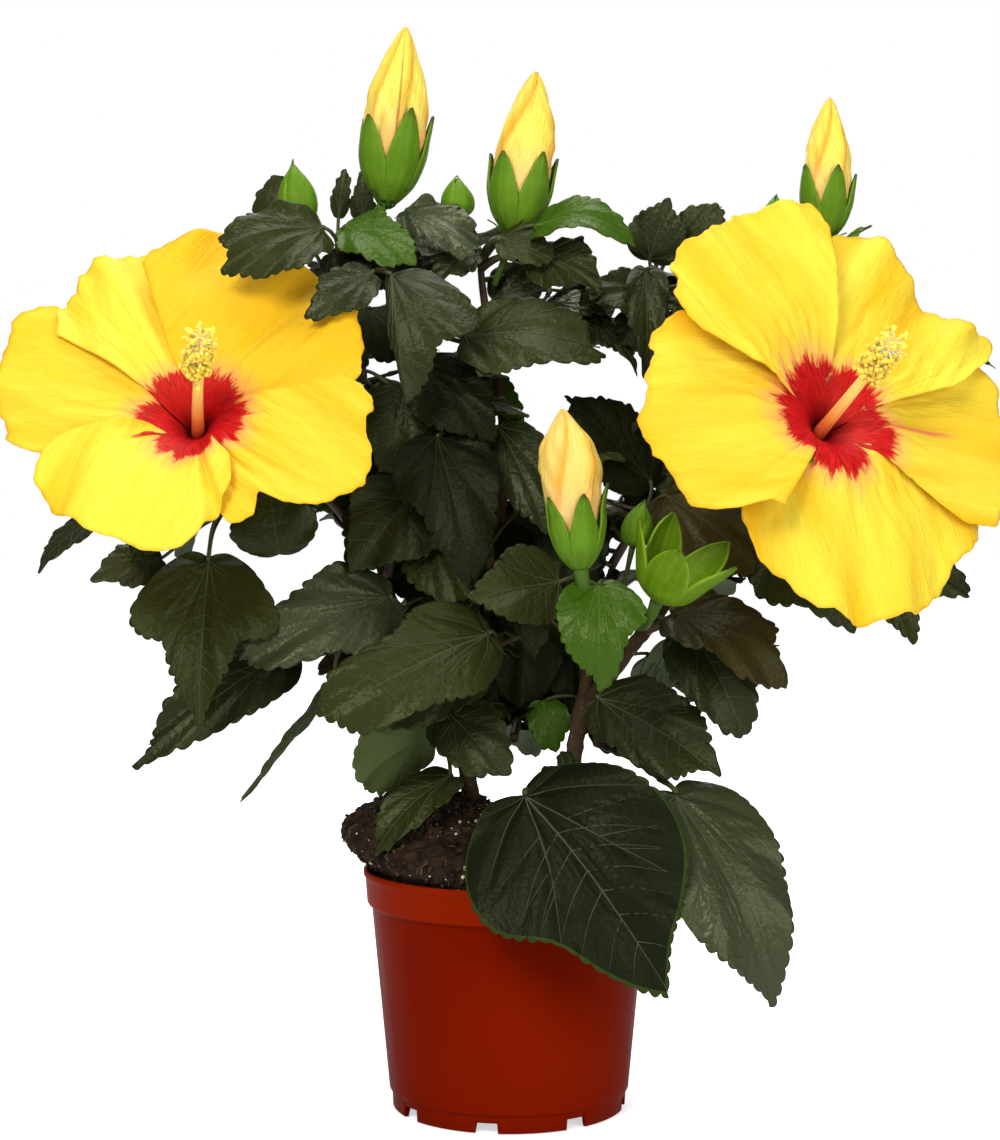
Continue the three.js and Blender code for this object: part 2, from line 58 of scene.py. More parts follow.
POT_HEIGHT = 98.5
RIM_RADIUS = 60.0
COLLAR_HEIGHT = 14.0
WALL = 1.6
BODY_RADIUS_TOP = 56.6
BODY_RADIUS_LOW = 49.4
FOOT_HEIGHT = 7.0
FOOT_RADIUS = 48.0
FLOOR_UNDERSIDE = 3.5
FLOOR_TOP = 5.5
CENTRE_PAD_RADIUS = 16.0
NOTCH_COUNT = 8
NOTCH_WIDTH = 9.0
NOTCH_HEIGHT = 4.5
NOTCH_TURN = 0.2

# rings round the root ball: radius and height on the right, then on the left, where it is highest
SOIL_RINGS = [
    (52.8, 82, 52.8, 82),
    (54.4, 94, 55.2, 98.5),
    (51, 97, 68, 112),
    (40, 101, 57, 124),
    (20, 109, 30, 131),
    (0, 121, 0, 121),
]

# the way that a leaf's upper side faces
FRONT = (0, -1, 0.45)
UPWARD = (0, -0.45, 1)
LEFTWARD = (-0.8, -0.7, 0.5)
BACKWARD = (0, 1, 0.6)


# ---- numbers and curves ----


def unit(v):
    v = np.asarray(v, float)
    return v / np.linalg.norm(v)


def square_to(along, wanted):
    """Two directions square to a direction, the first one nearest to a wanted one."""
    along = unit(along)
    wanted = np.asarray(wanted, float)
    first = unit(wanted - wanted.dot(along) * along)
    return first, np.cross(first, along)


def spline(points, count):
    """Places evenly spaced by length along a smooth curve through the points."""
    p = np.asarray(points, float)
    p = np.vstack([2 * p[0] - p[1], p, 2 * p[-1] - p[-2]])
    t = np.linspace(0, len(points) - 1, 24 * (len(points) - 1) + 1)
    i = np.minimum(t.astype(int), len(points) - 2)
    f = (t - i)[:, None]
    a, b, c, d = p[i], p[i + 1], p[i + 2], p[i + 3]
    curve = b + 0.5 * f * (c - a + f * (2 * a - 5 * b + 4 * c - d + f * (3 * b - a - 3 * c + d)))
    steps = np.linalg.norm(np.diff(curve, axis=0), axis=1)
    lengths = np.concatenate([[0], np.cumsum(steps)])
    wanted = np.linspace(0, lengths[-1], count)
    return np.column_stack([np.interp(wanted, lengths, column) for column in curve.T])


def ease(x, low, high):
    """0 below low, 1 above high and a smooth rise between them."""
    t = np.clip((np.asarray(x, float) - low) / (high - low), 0, 1)
    return t * t * (3 - 2 * t)


def waves(places, length, rng, count=9):
    """A smooth random value of about -1 to 1 at each place; length is its usual wavelength."""
    places = np.asarray(places, float)
    ways = rng.normal(size=(count, places.shape[-1]))
    ways *= (2 * np.pi / length * rng.uniform(0.6, 1.5, count) / np.linalg.norm(ways, axis=1))[:, None]
    return np.sin(places @ ways.T + rng.uniform(0, 2 * np.pi, count)).sum(-1) / math.sqrt(count)


# ---- meshes ----


class Parts:
    """Vertices, faces and material numbers gathered for one mesh, with a named value per vertex."""

    def __init__(self, values=()):
        self.places, self.faces, self.slots, self.count = [], [], [], 0
        self.values = {name: [] for name in values}

    def add(self, places, faces, slot=0, **values):
        places = np.asarray(places, float).reshape(-1, 3)
        faces = np.asarray(faces)
        self.places.append(places)
        self.faces.append(faces + self.count)
        self.slots.append(np.broadcast_to(slot, len(faces)))
        for name, kept in self.values.items():
            kept.append(np.broadcast_to(np.ravel(values.get(name, 0.0)), len(places)))
        self.count += len(places)

    def cap(self, centre, ring, slot=0, turned=False):
        """Closes a ring of vertices that are there already with triangles round a centre vertex."""
        after = np.roll(ring, -1)
        middle = np.full(len(ring), centre)
        self.faces.append(np.stack([middle, after, ring] if turned else [middle, ring, after], -1))
        self.slots.append(np.full(len(ring), slot))


def grid_faces(rows, columns, closed=False):
    """Four-cornered faces between neighbouring rows; closed joins the last column to the first."""
    r = np.arange(rows - 1)[:, None]
    c = np.arange(columns if closed else columns - 1)[None, :]
    after = (c + 1) % columns
    corners = [r * columns + c, r * columns + after, (r + 1) * columns + after, (r + 1) * columns + c]
    return np.stack([np.broadcast_to(k, (rows - 1, c.shape[1])) for k in corners], -1).reshape(-1, 4)


def make(name, parts, materials, replaced=()):
    """A mesh object in metres that rides on the root and stands for the CAD nodes it replaces."""
    mesh = bpy.data.meshes.new(name)
    places = np.concatenate(parts.places)
    loops = np.concatenate([f.ravel() for f in parts.faces])
    sizes = np.concatenate([np.full(len(f), f.shape[1]) for f in parts.faces])
    mesh.vertices.add(len(places))
    mesh.vertices.foreach_set("co", (places * MM).ravel())
    mesh.loops.add(len(loops))
    mesh.loops.foreach_set("vertex_index", loops.astype(np.int32))
    mesh.polygons.add(len(sizes))
    mesh.polygons.foreach_set("loop_start", np.concatenate([[0], np.cumsum(sizes)[:-1]]).astype(np.int32))
    slots = np.concatenate(parts.slots)
    used, numbers = np.unique(slots, return_inverse=True)
    mesh.polygons.foreach_set("material_index", numbers.astype(np.int32))
    for number in used:
        mesh.materials.append(materials[number])
    for value, kept in parts.values.items():
        attribute = mesh.attributes.new(value, "FLOAT", "POINT")
        attribute.data.foreach_set("value", np.concatenate(kept).astype(np.float32))
    mesh.update(calc_edges=True)
    mesh.validate()
    mesh.shade_smooth()
    piece = bpy.data.objects.new(name, mesh)
    bpy.context.scene.collection.objects.link(piece)
    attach(piece, "root")
    if replaced:
        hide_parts(*replaced)
    return piece


def tube(parts, route, radii, sides, slot=0, relief=None, **values):
    """A round limb with closed, slightly domed ends. radii are spread evenly along the route."""
    route = np.asarray(route, float)
    rows = len(route)
    ways = np.gradient(route, axis=0)
    ways /= np.linalg.norm(ways, axis=1)[:, None]
    radius = np.interp(np.linspace(0, 1, rows), np.linspace(0, 1, len(radii)), radii)
    first = np.empty_like(ways)
    last = square_to(ways[0], (0.3, 1, 0.1))[0]
    for i, way in enumerate(ways):
        last = unit(last - last.dot(way) * way)
        first[i] = last
    second = np.cross(ways, first)
    turn = np.linspace(0, 2 * np.pi, sides, endpoint=False)
    out = np.cos(turn)[None, :, None] * first[:, None] + np.sin(turn)[None, :, None] * second[:, None]
    grid = route[:, None] + out * radius[:, None, None]
    if relief is not None:
        grid = grid + out * relief(grid)[..., None]
    ends = [route[0] - ways[0] * radius[0] * 0.3, route[-1] + ways[-1] * radius[-1] * 0.3]
    places = np.vstack([grid.reshape(-1, 3), ends])
    given = {}
    for name, value in values.items():
        value = np.ravel(value)
        along = np.interp(np.linspace(0, 1, rows), np.linspace(0, 1, len(value)), value)
        given[name] = np.concatenate([np.repeat(along, sides), along[[0, -1]]])
    start = parts.count
    parts.add(places, grid_faces(rows, sides, closed=True), slot, **given)
    ring = start + np.arange(sides)
    parts.cap(start + rows * sides, ring, slot, turned=True)
    parts.cap(start + rows * sides + 1, ring + (rows - 1) * sides, slot)


def sheet(parts, grid, thickness, slot, **values):
    """A thin closed solid whose upper side is a grid of places (rows, columns, 3)."""
    rows, columns = grid.shape[:2]
    normal = np.cross(np.gradient(grid, axis=1), np.gradient(grid, axis=0))
    normal /= np.linalg.norm(normal, axis=-1, keepdims=True) + 1e-12
    lower = grid - normal * np.broadcast_to(thickness, grid.shape[:2])[..., None]
    n = rows * columns
    top = grid_faces(rows, columns)
    index = np.arange(n).reshape(rows, columns)
    rim = np.concatenate([index[0, :-1], index[:-1, -1], index[-1, :0:-1], index[:0:-1, 0]])
    after = np.roll(rim, -1)
    faces = np.vstack([top[:, ::-1], top + n, np.stack([rim, after, after + n, rim + n], -1)])
    parts.add(np.vstack([grid.reshape(-1, 3), lower.reshape(-1, 3)]), faces, slot,
              **{k: np.tile(np.ravel(np.broadcast_to(v, (rows, columns))), 2) for k, v in values.items()})


def make_lump():
    """The vertices and faces of a small round lump: an octahedron split once, on the unit sphere."""
    corners = [(1, 0, 0), (-1, 0, 0), (0, 1, 0), (0, -1, 0), (0, 0, 1), (0, 0, -1)]
    places = [np.array(c, float) for c in corners]
    faces = []
    middles = {}

    def middle(a, b):
        key = (min(a, b), max(a, b))
        if key not in middles:
            middles[key] = len(places)
            places.append(unit(places[a] + places[b]))
        return middles[key]

    for x in (0, 1):
        for y in (2, 3):
            for z in (4, 5):
                a, b, c = (x, y, z) if (x + y + z) % 2 == 0 else (y, x, z)
                ab, bc, ca = middle(a, b), middle(b, c), middle(c, a)
                faces += [(a, ab, ca), (ab, b, bc), (ca, bc, c), (ab, bc, ca)]
    return np.array(places), np.array(faces)


LUMP, LUMP_FACES = make_lump()


def lumps(parts, centres, sizes, rng, slot, rough, **values):
    """Many small lumps, each turned and stretched its own way. sizes are (count, 3) radii."""
    centres, sizes = np.asarray(centres, float), np.asarray(sizes, float)
    count = len(centres)
    turns = np.linalg.qr(rng.normal(size=(count, 3, 3)))[0]
    shape = LUMP[None] * (1 + rough * rng.uniform(-1, 1, (count, len(LUMP), 1))) * sizes[:, None]
    places = centres[:, None] + shape @ turns
    faces = LUMP_FACES[None] + (np.arange(count) * len(LUMP))[:, None, None]
    flipped = np.linalg.det(turns) < 0
    faces = np.where(flipped[:, None, None], faces[..., ::-1], faces)
    slots = np.repeat(np.broadcast_to(slot, count), len(LUMP_FACES))
    parts.add(places.reshape(-1, 3), faces.reshape(-1, 3), slots,
              **{k: np.repeat(np.broadcast_to(v, count), len(LUMP)) for k, v in values.items()})


# ---- materials ----


class Look:
    """A material whose colour, roughness and bump come from a few nodes."""

    def __init__(self, name, colour, rough, **plain):
        self.material = bpy.data.materials.new(name)
        self.material.use_nodes = True
        self.tree = self.material.node_tree
        self.shader = self.tree.nodes["Principled BSDF"]
        self.place = self.node("ShaderNodeTexCoord").outputs["Object"]
        self.set("Base Color", colour)
        self.set("Roughness", rough)
        for socket, value in plain.items():
            self.set(socket.replace("_", " "), value)

    def set(self, socket, value):
        """Links an output to a socket of the shader, or writes a plain number or colour on it."""
        self.feed(self.shader.inputs[socket], value)

    def feed(self, target, value):
        if isinstance(value, bpy.types.NodeSocket):
            self.tree.links.new(value, target)
        elif isinstance(value, tuple) and len(value) == 3 and target.type == "RGBA":
            target.default_value = (*value, 1)
        else:
            target.default_value = value

    def node(self, kind, given=None, **settings):
        node = self.tree.nodes.new(kind)
        for name, value in settings.items():
            setattr(node, name, value)
        for socket, value in (given or {}).items():
            self.feed(node.inputs[socket], value)
        return node

    def grain(self, place, scale, detail):
        """A noise from 0 to 1, read at a place."""
        given = {"Vector": place, "Scale": scale, "Detail": detail}
        return self.node("ShaderNodeTexNoise", given).outputs["Fac"]

    def noise(self, size, detail=3.0, stretch=None):
        """A noise from 0 to 1 whose patches are about size mm across."""
        place = self.place
        if stretch:
            given = {0: place, 1: stretch}
            place = self.node("ShaderNodeVectorMath", given, operation="MULTIPLY").outputs[0]
        return self.grain(place, 0.5 / (size * MM), detail)

    def vector(self, x, y, z=0.0):
        return self.node("ShaderNodeCombineXYZ", {"X": x, "Y": y, "Z": z}).outputs[0]

    def spots(self, size):
        """The distance to the nearest of points about size mm apart, in those sizes."""
        given = {"Vector": self.place, "Scale": 1 / (size * MM)}
        return self.node("ShaderNodeTexVoronoi", given).outputs["Distance"]

    def value(self, name):
        """The value that the mesh's vertices hold under a name."""
        return self.node("ShaderNodeAttribute", attribute_name=name).outputs["Fac"]

    def maths(self, operation, a, b=0.0):
        return self.node("ShaderNodeMath", {0: a, 1: b}, operation=operation).outputs[0]

    def times(self, a, b):
        return self.maths("MULTIPLY", a, b)

    def spread(self, value, low, high, to_low=0.0, to_high=1.0):
        given = {"Value": value, "From Min": low, "From Max": high, "To Min": to_low, "To Max": to_high}
        return self.node("ShaderNodeMapRange", given, clamp=True).outputs[0]

    def mix(self, share, a, b):
        node = self.tree.nodes.new("ShaderNodeMix")
        node.data_type = "RGBA"
        self.feed(node.inputs["Factor"], share)
        self.feed(node.inputs[6], a)
        self.feed(node.inputs[7], b)
        return node.outputs[2]

    def bump(self, height, depth, under=None):
        """A bump whose full height is depth mm."""
        given = {"Height": height, "Distance": depth * MM, "Strength": 1.0}
        if under:
            given["Normal"] = under
        return self.node("ShaderNodeBump", given).outputs["Normal"]


def leaf_look(name, colour, rough, pebble=0.5, shine=0.28):
    """A glossy blade: pebbled between its finest veins, and unevenly shiny."""
    look = Look(name, colour, rough, Specular_IOR_Level=shine, Specular_Tint=(0.88, 0.90, 0.52))
    fine = look.noise(1.1, 2.0)
    broad = look.noise(14.0, 2.0)
    look.set("Roughness", look.spread(broad, 0.3, 0.7, rough - 0.04, rough + 0.06))
    look.set("Normal", look.bump(fine, pebble))
    return look.material


def vein_look(name, colour):
    look = Look(name, colour, 0.5, Specular_IOR_Level=0.15, Specular_Tint=(0.88, 0.90, 0.52))
    look.set("Normal", look.bump(look.noise(0.8, 2.0), 0.12))
    return look.material


# material numbers of a leaf
DARK, SHADED, OLIVE, GREY_SHEEN, BRONZE, BRIGHT, FRESH = range(7)
UNDER, UNDER_PALE, MARGIN, VEIN, VEIN_BRONZE, VEIN_BRIGHT, VEIN_UNDER, VEIN_SHADED = range(7, 15)


def leaf_materials():
    return [
        leaf_look("leaf_dark", (0.014, 0.020, 0.005), 0.40, shine=0.26),
        # Painted shade: a darker, duller copy of the dark leaf, for leaves in the shade inside and under
        # the crown.
        leaf_look("leaf_shaded", (0.006, 0.0085, 0.003), 0.42, shine=0.11),
        leaf_look("leaf_olive", (0.021, 0.026, 0.005), 0.40, shine=0.22),
        # Painted sheen: this glossy leaf's greyer, lighter base colour paints in grey sheen; its stronger
        # gloss is real.
        leaf_look("leaf_grey_sheen", (0.029, 0.037, 0.016), 0.38, 0.5, 0.44),
        leaf_look("leaf_bronze", (0.028, 0.021, 0.005), 0.42, shine=0.2),
        leaf_look("leaf_bright", (0.032, 0.080, 0.002), 0.36, 0.5),
        leaf_look("leaf_fresh", (0.07, 0.17, 0.008), 0.45, 0.3),
        leaf_look("leaf_under", (0.050, 0.070, 0.026), 0.62, 0.3, 0.25),
        leaf_look("leaf_under_pale", (0.080, 0.105, 0.034), 0.62, 0.3, 0.2),
        vein_look("leaf_margin", (0.024, 0.040, 0.006)),
        vein_look("vein_dark", (0.055, 0.066, 0.031)),
        vein_look("vein_bronze", (0.052, 0.040, 0.014)),
        vein_look("vein_bright", (0.06, 0.13, 0.010)),
        vein_look("vein_under", (0.10, 0.125, 0.055)),
        # Painted shade: darker veins for that shaded copy of the dark leaf.
        vein_look("vein_shaded", (0.016, 0.021, 0.008)),
    ]


VEIN_OF = {SHADED: VEIN_SHADED, BRONZE: VEIN_BRONZE, BRIGHT: VEIN_BRIGHT, FRESH: VEIN_BRIGHT}


# ---- leaves ----

# a blade's edge from its tip to its stalk: share of the length, and share of the greatest half-width
OVATE = [(1, 0), (0.94, 0.10), (0.84, 0.27), (0.70, 0.52), (0.53, 0.79), (0.36, 0.97), (0.21, 1.0),
         (0.08, 0.88), (-0.01, 0.64), (-0.06, 0.36), (-0.05, 0.14), (-0.018, 0.0)]
BLUNT = [(1, 0), (0.975, 0.20), (0.91, 0.43), (0.79, 0.68), (0.62, 0.90), (0.43, 1.0), (0.25, 0.95),
         (0.09, 0.76), (0.0, 0.52), (-0.04, 0.28), (-0.035, 0.12), (-0.018, 0.0)]
# one tooth of the edge: share of the way along it, and how far it stands out
SCALLOP = [(0, 0), (0.2, 0.62), (0.45, 0.95), (0.7, 1), (0.9, 0.6), (1, 0)]
# the three main veins on each side: where they end and bend, along the blade, then how far the bend
# lies out and how wide they are
PALM = [(0.60, 0.34, 0.30, 0.75), (0.24, 0.07, 0.34, 0.55), (-0.03, -0.01, 0.22, 0.35)]
BLADE_THICKNESS = 0.4
MARGIN_SHARE = 0.975
VEIN_STEP = 3.0  # mm between the places that a vein is drawn through


class Blade:
    """One leaf: rings of places from the stalk's end out to the toothed edge, with veins sunk in it."""

    def __init__(self, spec, seed):
        self.spec = spec
        self.rng = np.random.default_rng(seed)
        self.foot = np.array(spec["from"], float)
        along = np.array(spec["to"], float) - self.foot
        self.long = np.linalg.norm(along)
        self.along = along / self.long
        self.normal, _ = square_to(self.along, spec["face"])
        self.across = np.cross(self.normal, self.along)
        self.half = spec["wide"] / 2
        self.sides = spec.get("sides", (1.0, 1.0))
        blunt = spec.get("blunt", self.rng.uniform(0.15, 0.75))
        self.outline = np.array(OVATE) * (1 - blunt) + np.array(BLUNT) * blunt
        self.shape_edge()
        self.draw_veins()
        self.lift_rings()

    def shape_edge(self):
        """The edge, from the stalk round the left side to the tip and back on the right."""
        spec, rng = self.spec, self.rng
        pitch = spec.get("pitch", (3.4 + 0.028 * self.long) * rng.uniform(0.85, 1.4))
        outline = self.outline * (self.long, self.half)
        length = np.linalg.norm(np.diff(outline, axis=0), axis=1).sum()
        count = max(5, round(length / pitch))
        each = count * (5 if self.long > 60 else 4)
        side = spline(outline, each + 1)[::-1]
        steps = np.linspace(0, 1, each + 1)
        turn = np.degrees(np.arctan2(side[:, 1], side[:, 0] + 0.04 * self.long))
        lobed = spec.get("lobes", 0.0)
        wing = np.exp(-(((turn - 46) / 13) ** 2))
        notch = np.exp(-(((turn - 22) / 7) ** 2))
        grown = 1 + lobed * wing - 0.45 * lobed * notch
        side = side * grown[:, None]
        out = np.stack([-np.gradient(side[:, 1]), np.gradient(side[:, 0])], -1)
        out /= np.linalg.norm(out, axis=1)[:, None] + 1e-9
        halves = []
        for sign in (self.sides[0], -self.sides[1]):
            scallop = np.interp((steps * count + 0.01) % 1, *np.transpose(SCALLOP))
            depth = spec.get("teeth", 0.26) * pitch * ease(steps, 0.12, 0.55)
            uneven = 1 + 0.6 * waves(steps[:, None], 0.25, rng, 4)
            toothed = side + out * (depth * uneven * (scallop - 0.5))[:, None]
            wobble = 1 + 0.055 * waves(steps[:, None], 0.6, rng, 4)[:, None] * ease(steps, 0, 0.2)[:, None]
            halves.append((side * wobble * (1, sign), toothed * wobble * (1, sign)))
        (left, left_toothed), (right, right_toothed) = halves
        self.edge = np.vstack([left, right[-2:0:-1]])
        self.toothed = np.vstack([left_toothed, right_toothed[-2:0:-1]])
        self.steps = np.concatenate([steps, 2 - steps[-2:0:-1]])
        self.turns = np.unwrap(np.arctan2(self.edge[:, 1], self.edge[:, 0]))

    def reach(self, x):
        """The half-width of the blade at a share of its length."""
        shares, halves = self.outline[:8].T
        return np.interp(x, shares[::-1], halves[::-1]) * self.half

    def draw_veins(self):
        """Each vein's places on the flat blade, its width and its depth share."""
        rng, long = self.rng, self.long
        self.veins = [(np.column_stack([np.linspace(0, 0.96 * long, 24), np.zeros(24)]), 1.05, 1.0)]
        for sign in (self.sides[0], -self.sides[1]):
            for at, bend, bow, wide in PALM:
                reach = self.reach(at) if at > 0.05 else 0.6 * self.half
                end = np.array([at * long, sign * 0.88 * reach])
                middle = np.array([bend * long, sign * bow * self.half])
                self.veins.append((spline([(0, 0), middle, end], 14), wide, 0.8))
            count = int(np.clip(self.long / 11, 3, 6))
            for i in range(count):
                start = 0.22 + 0.62 * i / count + rng.uniform(-0.02, 0.02)
                at = min(start + 0.20 * (1 - start) + 0.06, 0.97)
                end = np.array([at * long, sign * 0.86 * self.reach(at)])
                middle = np.array([(start + (at - start) * 0.42) * long, end[1] * 0.52])
                self.veins.append((spline([(start * long, 0), middle, end], 10), 0.5, 0.6))
            for share in (0.35, 0.55, 0.75):
                palm_vein = self.veins[1 if sign > 0 else 1 + len(PALM) + count + 3][0]
                start = palm_vein[int(share * 13)]
                at = np.clip(start[0] / long + 0.10, 0, 0.9)
                end = np.array([at * long, sign * 0.9 * self.reach(at)])
                self.veins.append((spline([start, start * 0.55 + end * 0.45, end], 8), 0.42, 0.45))

    def height(self, x, y, share, step):
        """How far the blade stands off its flat at places on it."""
        spec, long, rng = self.spec, self.long, np.random.default_rng(self.seed_of_waves)
        s = x / long
        side = np.sqrt(y * y + 4.0) - 2.0
        h = side * spec.get("fold", 0.16)
        h = h - spec.get("cup", 0.16) * self.half * (np.abs(y) / self.half) ** 2
        h = h + spec.get("arch", 0.1) * long * (4 * s * (1 - s) - 0.4)
        h = h - spec.get("droop", 0.15) * long * np.clip(s - 0.55, 0, 1) ** 2
        h = h + spec.get("twist", rng.uniform(-0.12, 0.12)) * y * s
        ripple = spec.get("ripple", 0.038) * (long + 2 * self.half) / 2
        for waves_round, size in ((rng.integers(3, 6), 0.7), (rng.integers(7, 10), 0.42)):
            h = h + ripple * size * share**2.5 * np.sin(waves_round * np.pi * step + rng.uniform(0, 6.3))
        flat = np.column_stack([np.ravel(x), np.ravel(y)]) / long
        return h + 0.009 * long * waves(flat, 0.9, rng).reshape(np.shape(x))

    def puffed(self, x, y):
        """How far the blade puffs up between its veins."""
        near = np.full(np.size(x), 9.0)
        places = np.column_stack([np.ravel(x), np.ravel(y)])
        for vein, _, depth in self.veins:
            gap = np.linalg.norm(places[:, None] - vein[None], axis=-1).min(1)
            near = np.minimum(near, gap / depth)
        puff = self.spec.get("puff", 0.011) * (self.long + 2 * self.half) / 2
        return (puff * (1 - np.exp(-((near / 3.0) ** 2)))).reshape(np.shape(x))

    def lift_rings(self):
        self.seed_of_waves = int(self.rng.integers(1 << 30))
        rings = int(np.clip(self.long / (6.8 if self.spec.get("plain") else 4.8), 5, 18))
        shares = np.append(np.linspace(0, MARGIN_SHARE, rings) ** 0.9, 1.0)[1:]
        flat = np.array([share * self.edge for share in shares[:-1]] + [self.toothed])
        share = np.broadcast_to(shares[:, None], flat.shape[:2])
        step = np.broadcast_to(self.steps, flat.shape[:2])
        x, y = flat[..., 0], flat[..., 1]
        lift = self.height(x, y, share, step) + self.puffed(x, y) * (1 - 0.5 * share**3)
        self.shares = np.concatenate([[0], shares])
        self.lift = np.vstack([np.full((1, len(self.edge)), lift[0].mean()), lift])
        self.rings = self.put(x, y, lift)
        self.centre = self.put(np.zeros(1), np.zeros(1), lift[:1].mean(1))[0]

    def put(self, x, y, lift):
        """Places in the part's frame from places on the flat blade."""
        return (self.foot + x[..., None] * self.along + y[..., None] * self.across
                + lift[..., None] * self.normal)

    def lift_at(self, places):
        """The height of the mesh, read between its rings, at places on the flat blade."""
        turn = np.arctan2(places[:, 1], places[:, 0])
        order = np.argsort(self.turns)
        column = np.interp(turn, self.turns[order], order.astype(float), period=2 * np.pi)
        count = len(self.edge)
        edge_reach = np.interp(turn, self.turns[order], np.linalg.norm(self.edge, axis=1)[order],
                               period=2 * np.pi)
        share = np.clip(np.linalg.norm(places, axis=1) / np.maximum(edge_reach, 1e-6), 0, 1)
        ring = np.interp(share, self.shares, np.arange(len(self.shares)))
        r0 = np.minimum(ring.astype(int), len(self.shares) - 2)
        c0 = column.astype(int) % count
        c1 = (c0 + 1) % count
        f, g = ring - r0, column - column.astype(int)
        low = self.lift[r0, c0] * (1 - g) + self.lift[r0, c1] * g
        high = self.lift[r0 + 1, c0] * (1 - g) + self.lift[r0 + 1, c1] * g
        return low * (1 - f) + high * f

    def add_to(self, parts):
        kind = self.spec["kind"]
        under = self.spec.get("under", UNDER)
        rows, count = self.rings.shape[:2]
        down = self.normal * BLADE_THICKNESS
        top = np.vstack([self.rings.reshape(-1, 3), self.centre])
        n = len(top)
        blade = grid_faces(rows, count, closed=True)
        ring = np.arange(count)
        last = (rows - 1) * count + ring
        after = np.roll(last, -1)
        start = parts.count
        parts.add(np.vstack([top, top - down]), np.vstack([blade, blade[:, ::-1] + n]),
                  np.concatenate([self.blade_slots(kind, rows, count), np.full(len(blade), under)]))
        parts.cap(start + n - 1, start + ring, kind, turned=True)
        parts.cap(start + 2 * n - 1, start + n + ring, under)
        parts.faces.append(start + np.stack([last, after, after + n, last + n], -1))
        parts.slots.append(np.full(count, MARGIN))
        self.add_veins(parts, VEIN if self.spec.get("rimmed") else VEIN_OF.get(kind, VEIN))

    def blade_slots(self, kind, rows, count):
        """The blade's own colour, with a lighter thread of margin round a rimmed one."""
        slots = np.full((rows - 1, count), kind)
        if self.spec.get("rimmed"):
            slots[-1] = MARGIN
        return slots.ravel()

    def add_veins(self, parts, slot):
        size = 0.55 + 0.45 * min(self.long / 70, 1.2)
        plain = self.spec.get("plain") or self.long < 40
        for vein, wide, _ in self.veins:
            if self.spec.get("plain") and wide < 0.45:
                continue
            length = np.linalg.norm(np.diff(vein, axis=0), axis=1).sum()
            places = spline(vein, max(4, int(length / VEIN_STEP / (1.6 if plain else 1))))
            way = np.gradient(places, axis=0)
            side = np.stack([-way[:, 1], way[:, 0]], -1)
            side /= np.linalg.norm(side, axis=1)[:, None] + 1e-9
            half = (wide * size * np.linspace(0.5, 0.16, len(places)))[:, None]
            lift = self.lift_at(places)
            for raised, number, turned in ((0.24, slot, False), (-0.30, VEIN_UNDER, True)):
                if turned and plain and wide < 0.6:
                    continue
                base = lift - (BLADE_THICKNESS if turned else 0)
                strip = [
                    self.put(*(places + side * half).T, base - raised * 0.4),
                    self.put(*places.T, base + raised * (1 + wide * 0.4)),
                    self.put(*(places - side * half).T, base - raised * 0.4),
                ]
                faces = grid_faces(3, len(places))
                parts.add(np.array(strip), faces if turned else faces[:, ::-1], number)


def leaf(start, tip, wide, face, kind, **more):
    return {"from": start, "to": tip, "wide": wide, "face": face, "kind": kind, **more}


# ---- twigs, and the masses of leaves that grow from them ----

LEAF_COLOURS = leaf_materials()


def bezier(a, b, c, d, count):
    t = np.linspace(0, 1, count)[:, None]
    return (1 - t) ** 3 * a + 3 * t * (1 - t) ** 2 * b + 3 * t**2 * (1 - t) * c + t**3 * d


def petiole(parts, blade, route, rng, age=0.35):
    """A leaf stalk from the twig to the blade, coming in under the blade's foot."""
    route = spline(route, 60)
    gap = np.linalg.norm(route - blade.foot, axis=1)
    nearest = int(gap.argmin())
    low = max(1, min(nearest - 4 - int(rng.integers(0, 5)), 56))
    start, way = route[low], unit(route[low + 1] - route[low - 1])
    end = blade.foot - blade.normal * 0.6
    reach = np.linalg.norm(end - start)
    out = unit(end - start)
    into = unit(blade.along * 0.6 - blade.normal * 0.35 + out)
    curve = bezier(start, start + (way * 0.5 + out) * reach * 0.28, end - into * reach * 0.35, end, 9)
    thick = (0.75 + 0.006 * blade.long) * blade.spec.get("stalk", 1.0)
    tube(parts, curve, [thick * 1.35, thick, thick * 0.8, thick * 0.85], 6, age=[age, age * 0.6, age * 0.4])


CROWN_FRONT = -30.0  # the depth, in mm, that no grown leaf comes in front of


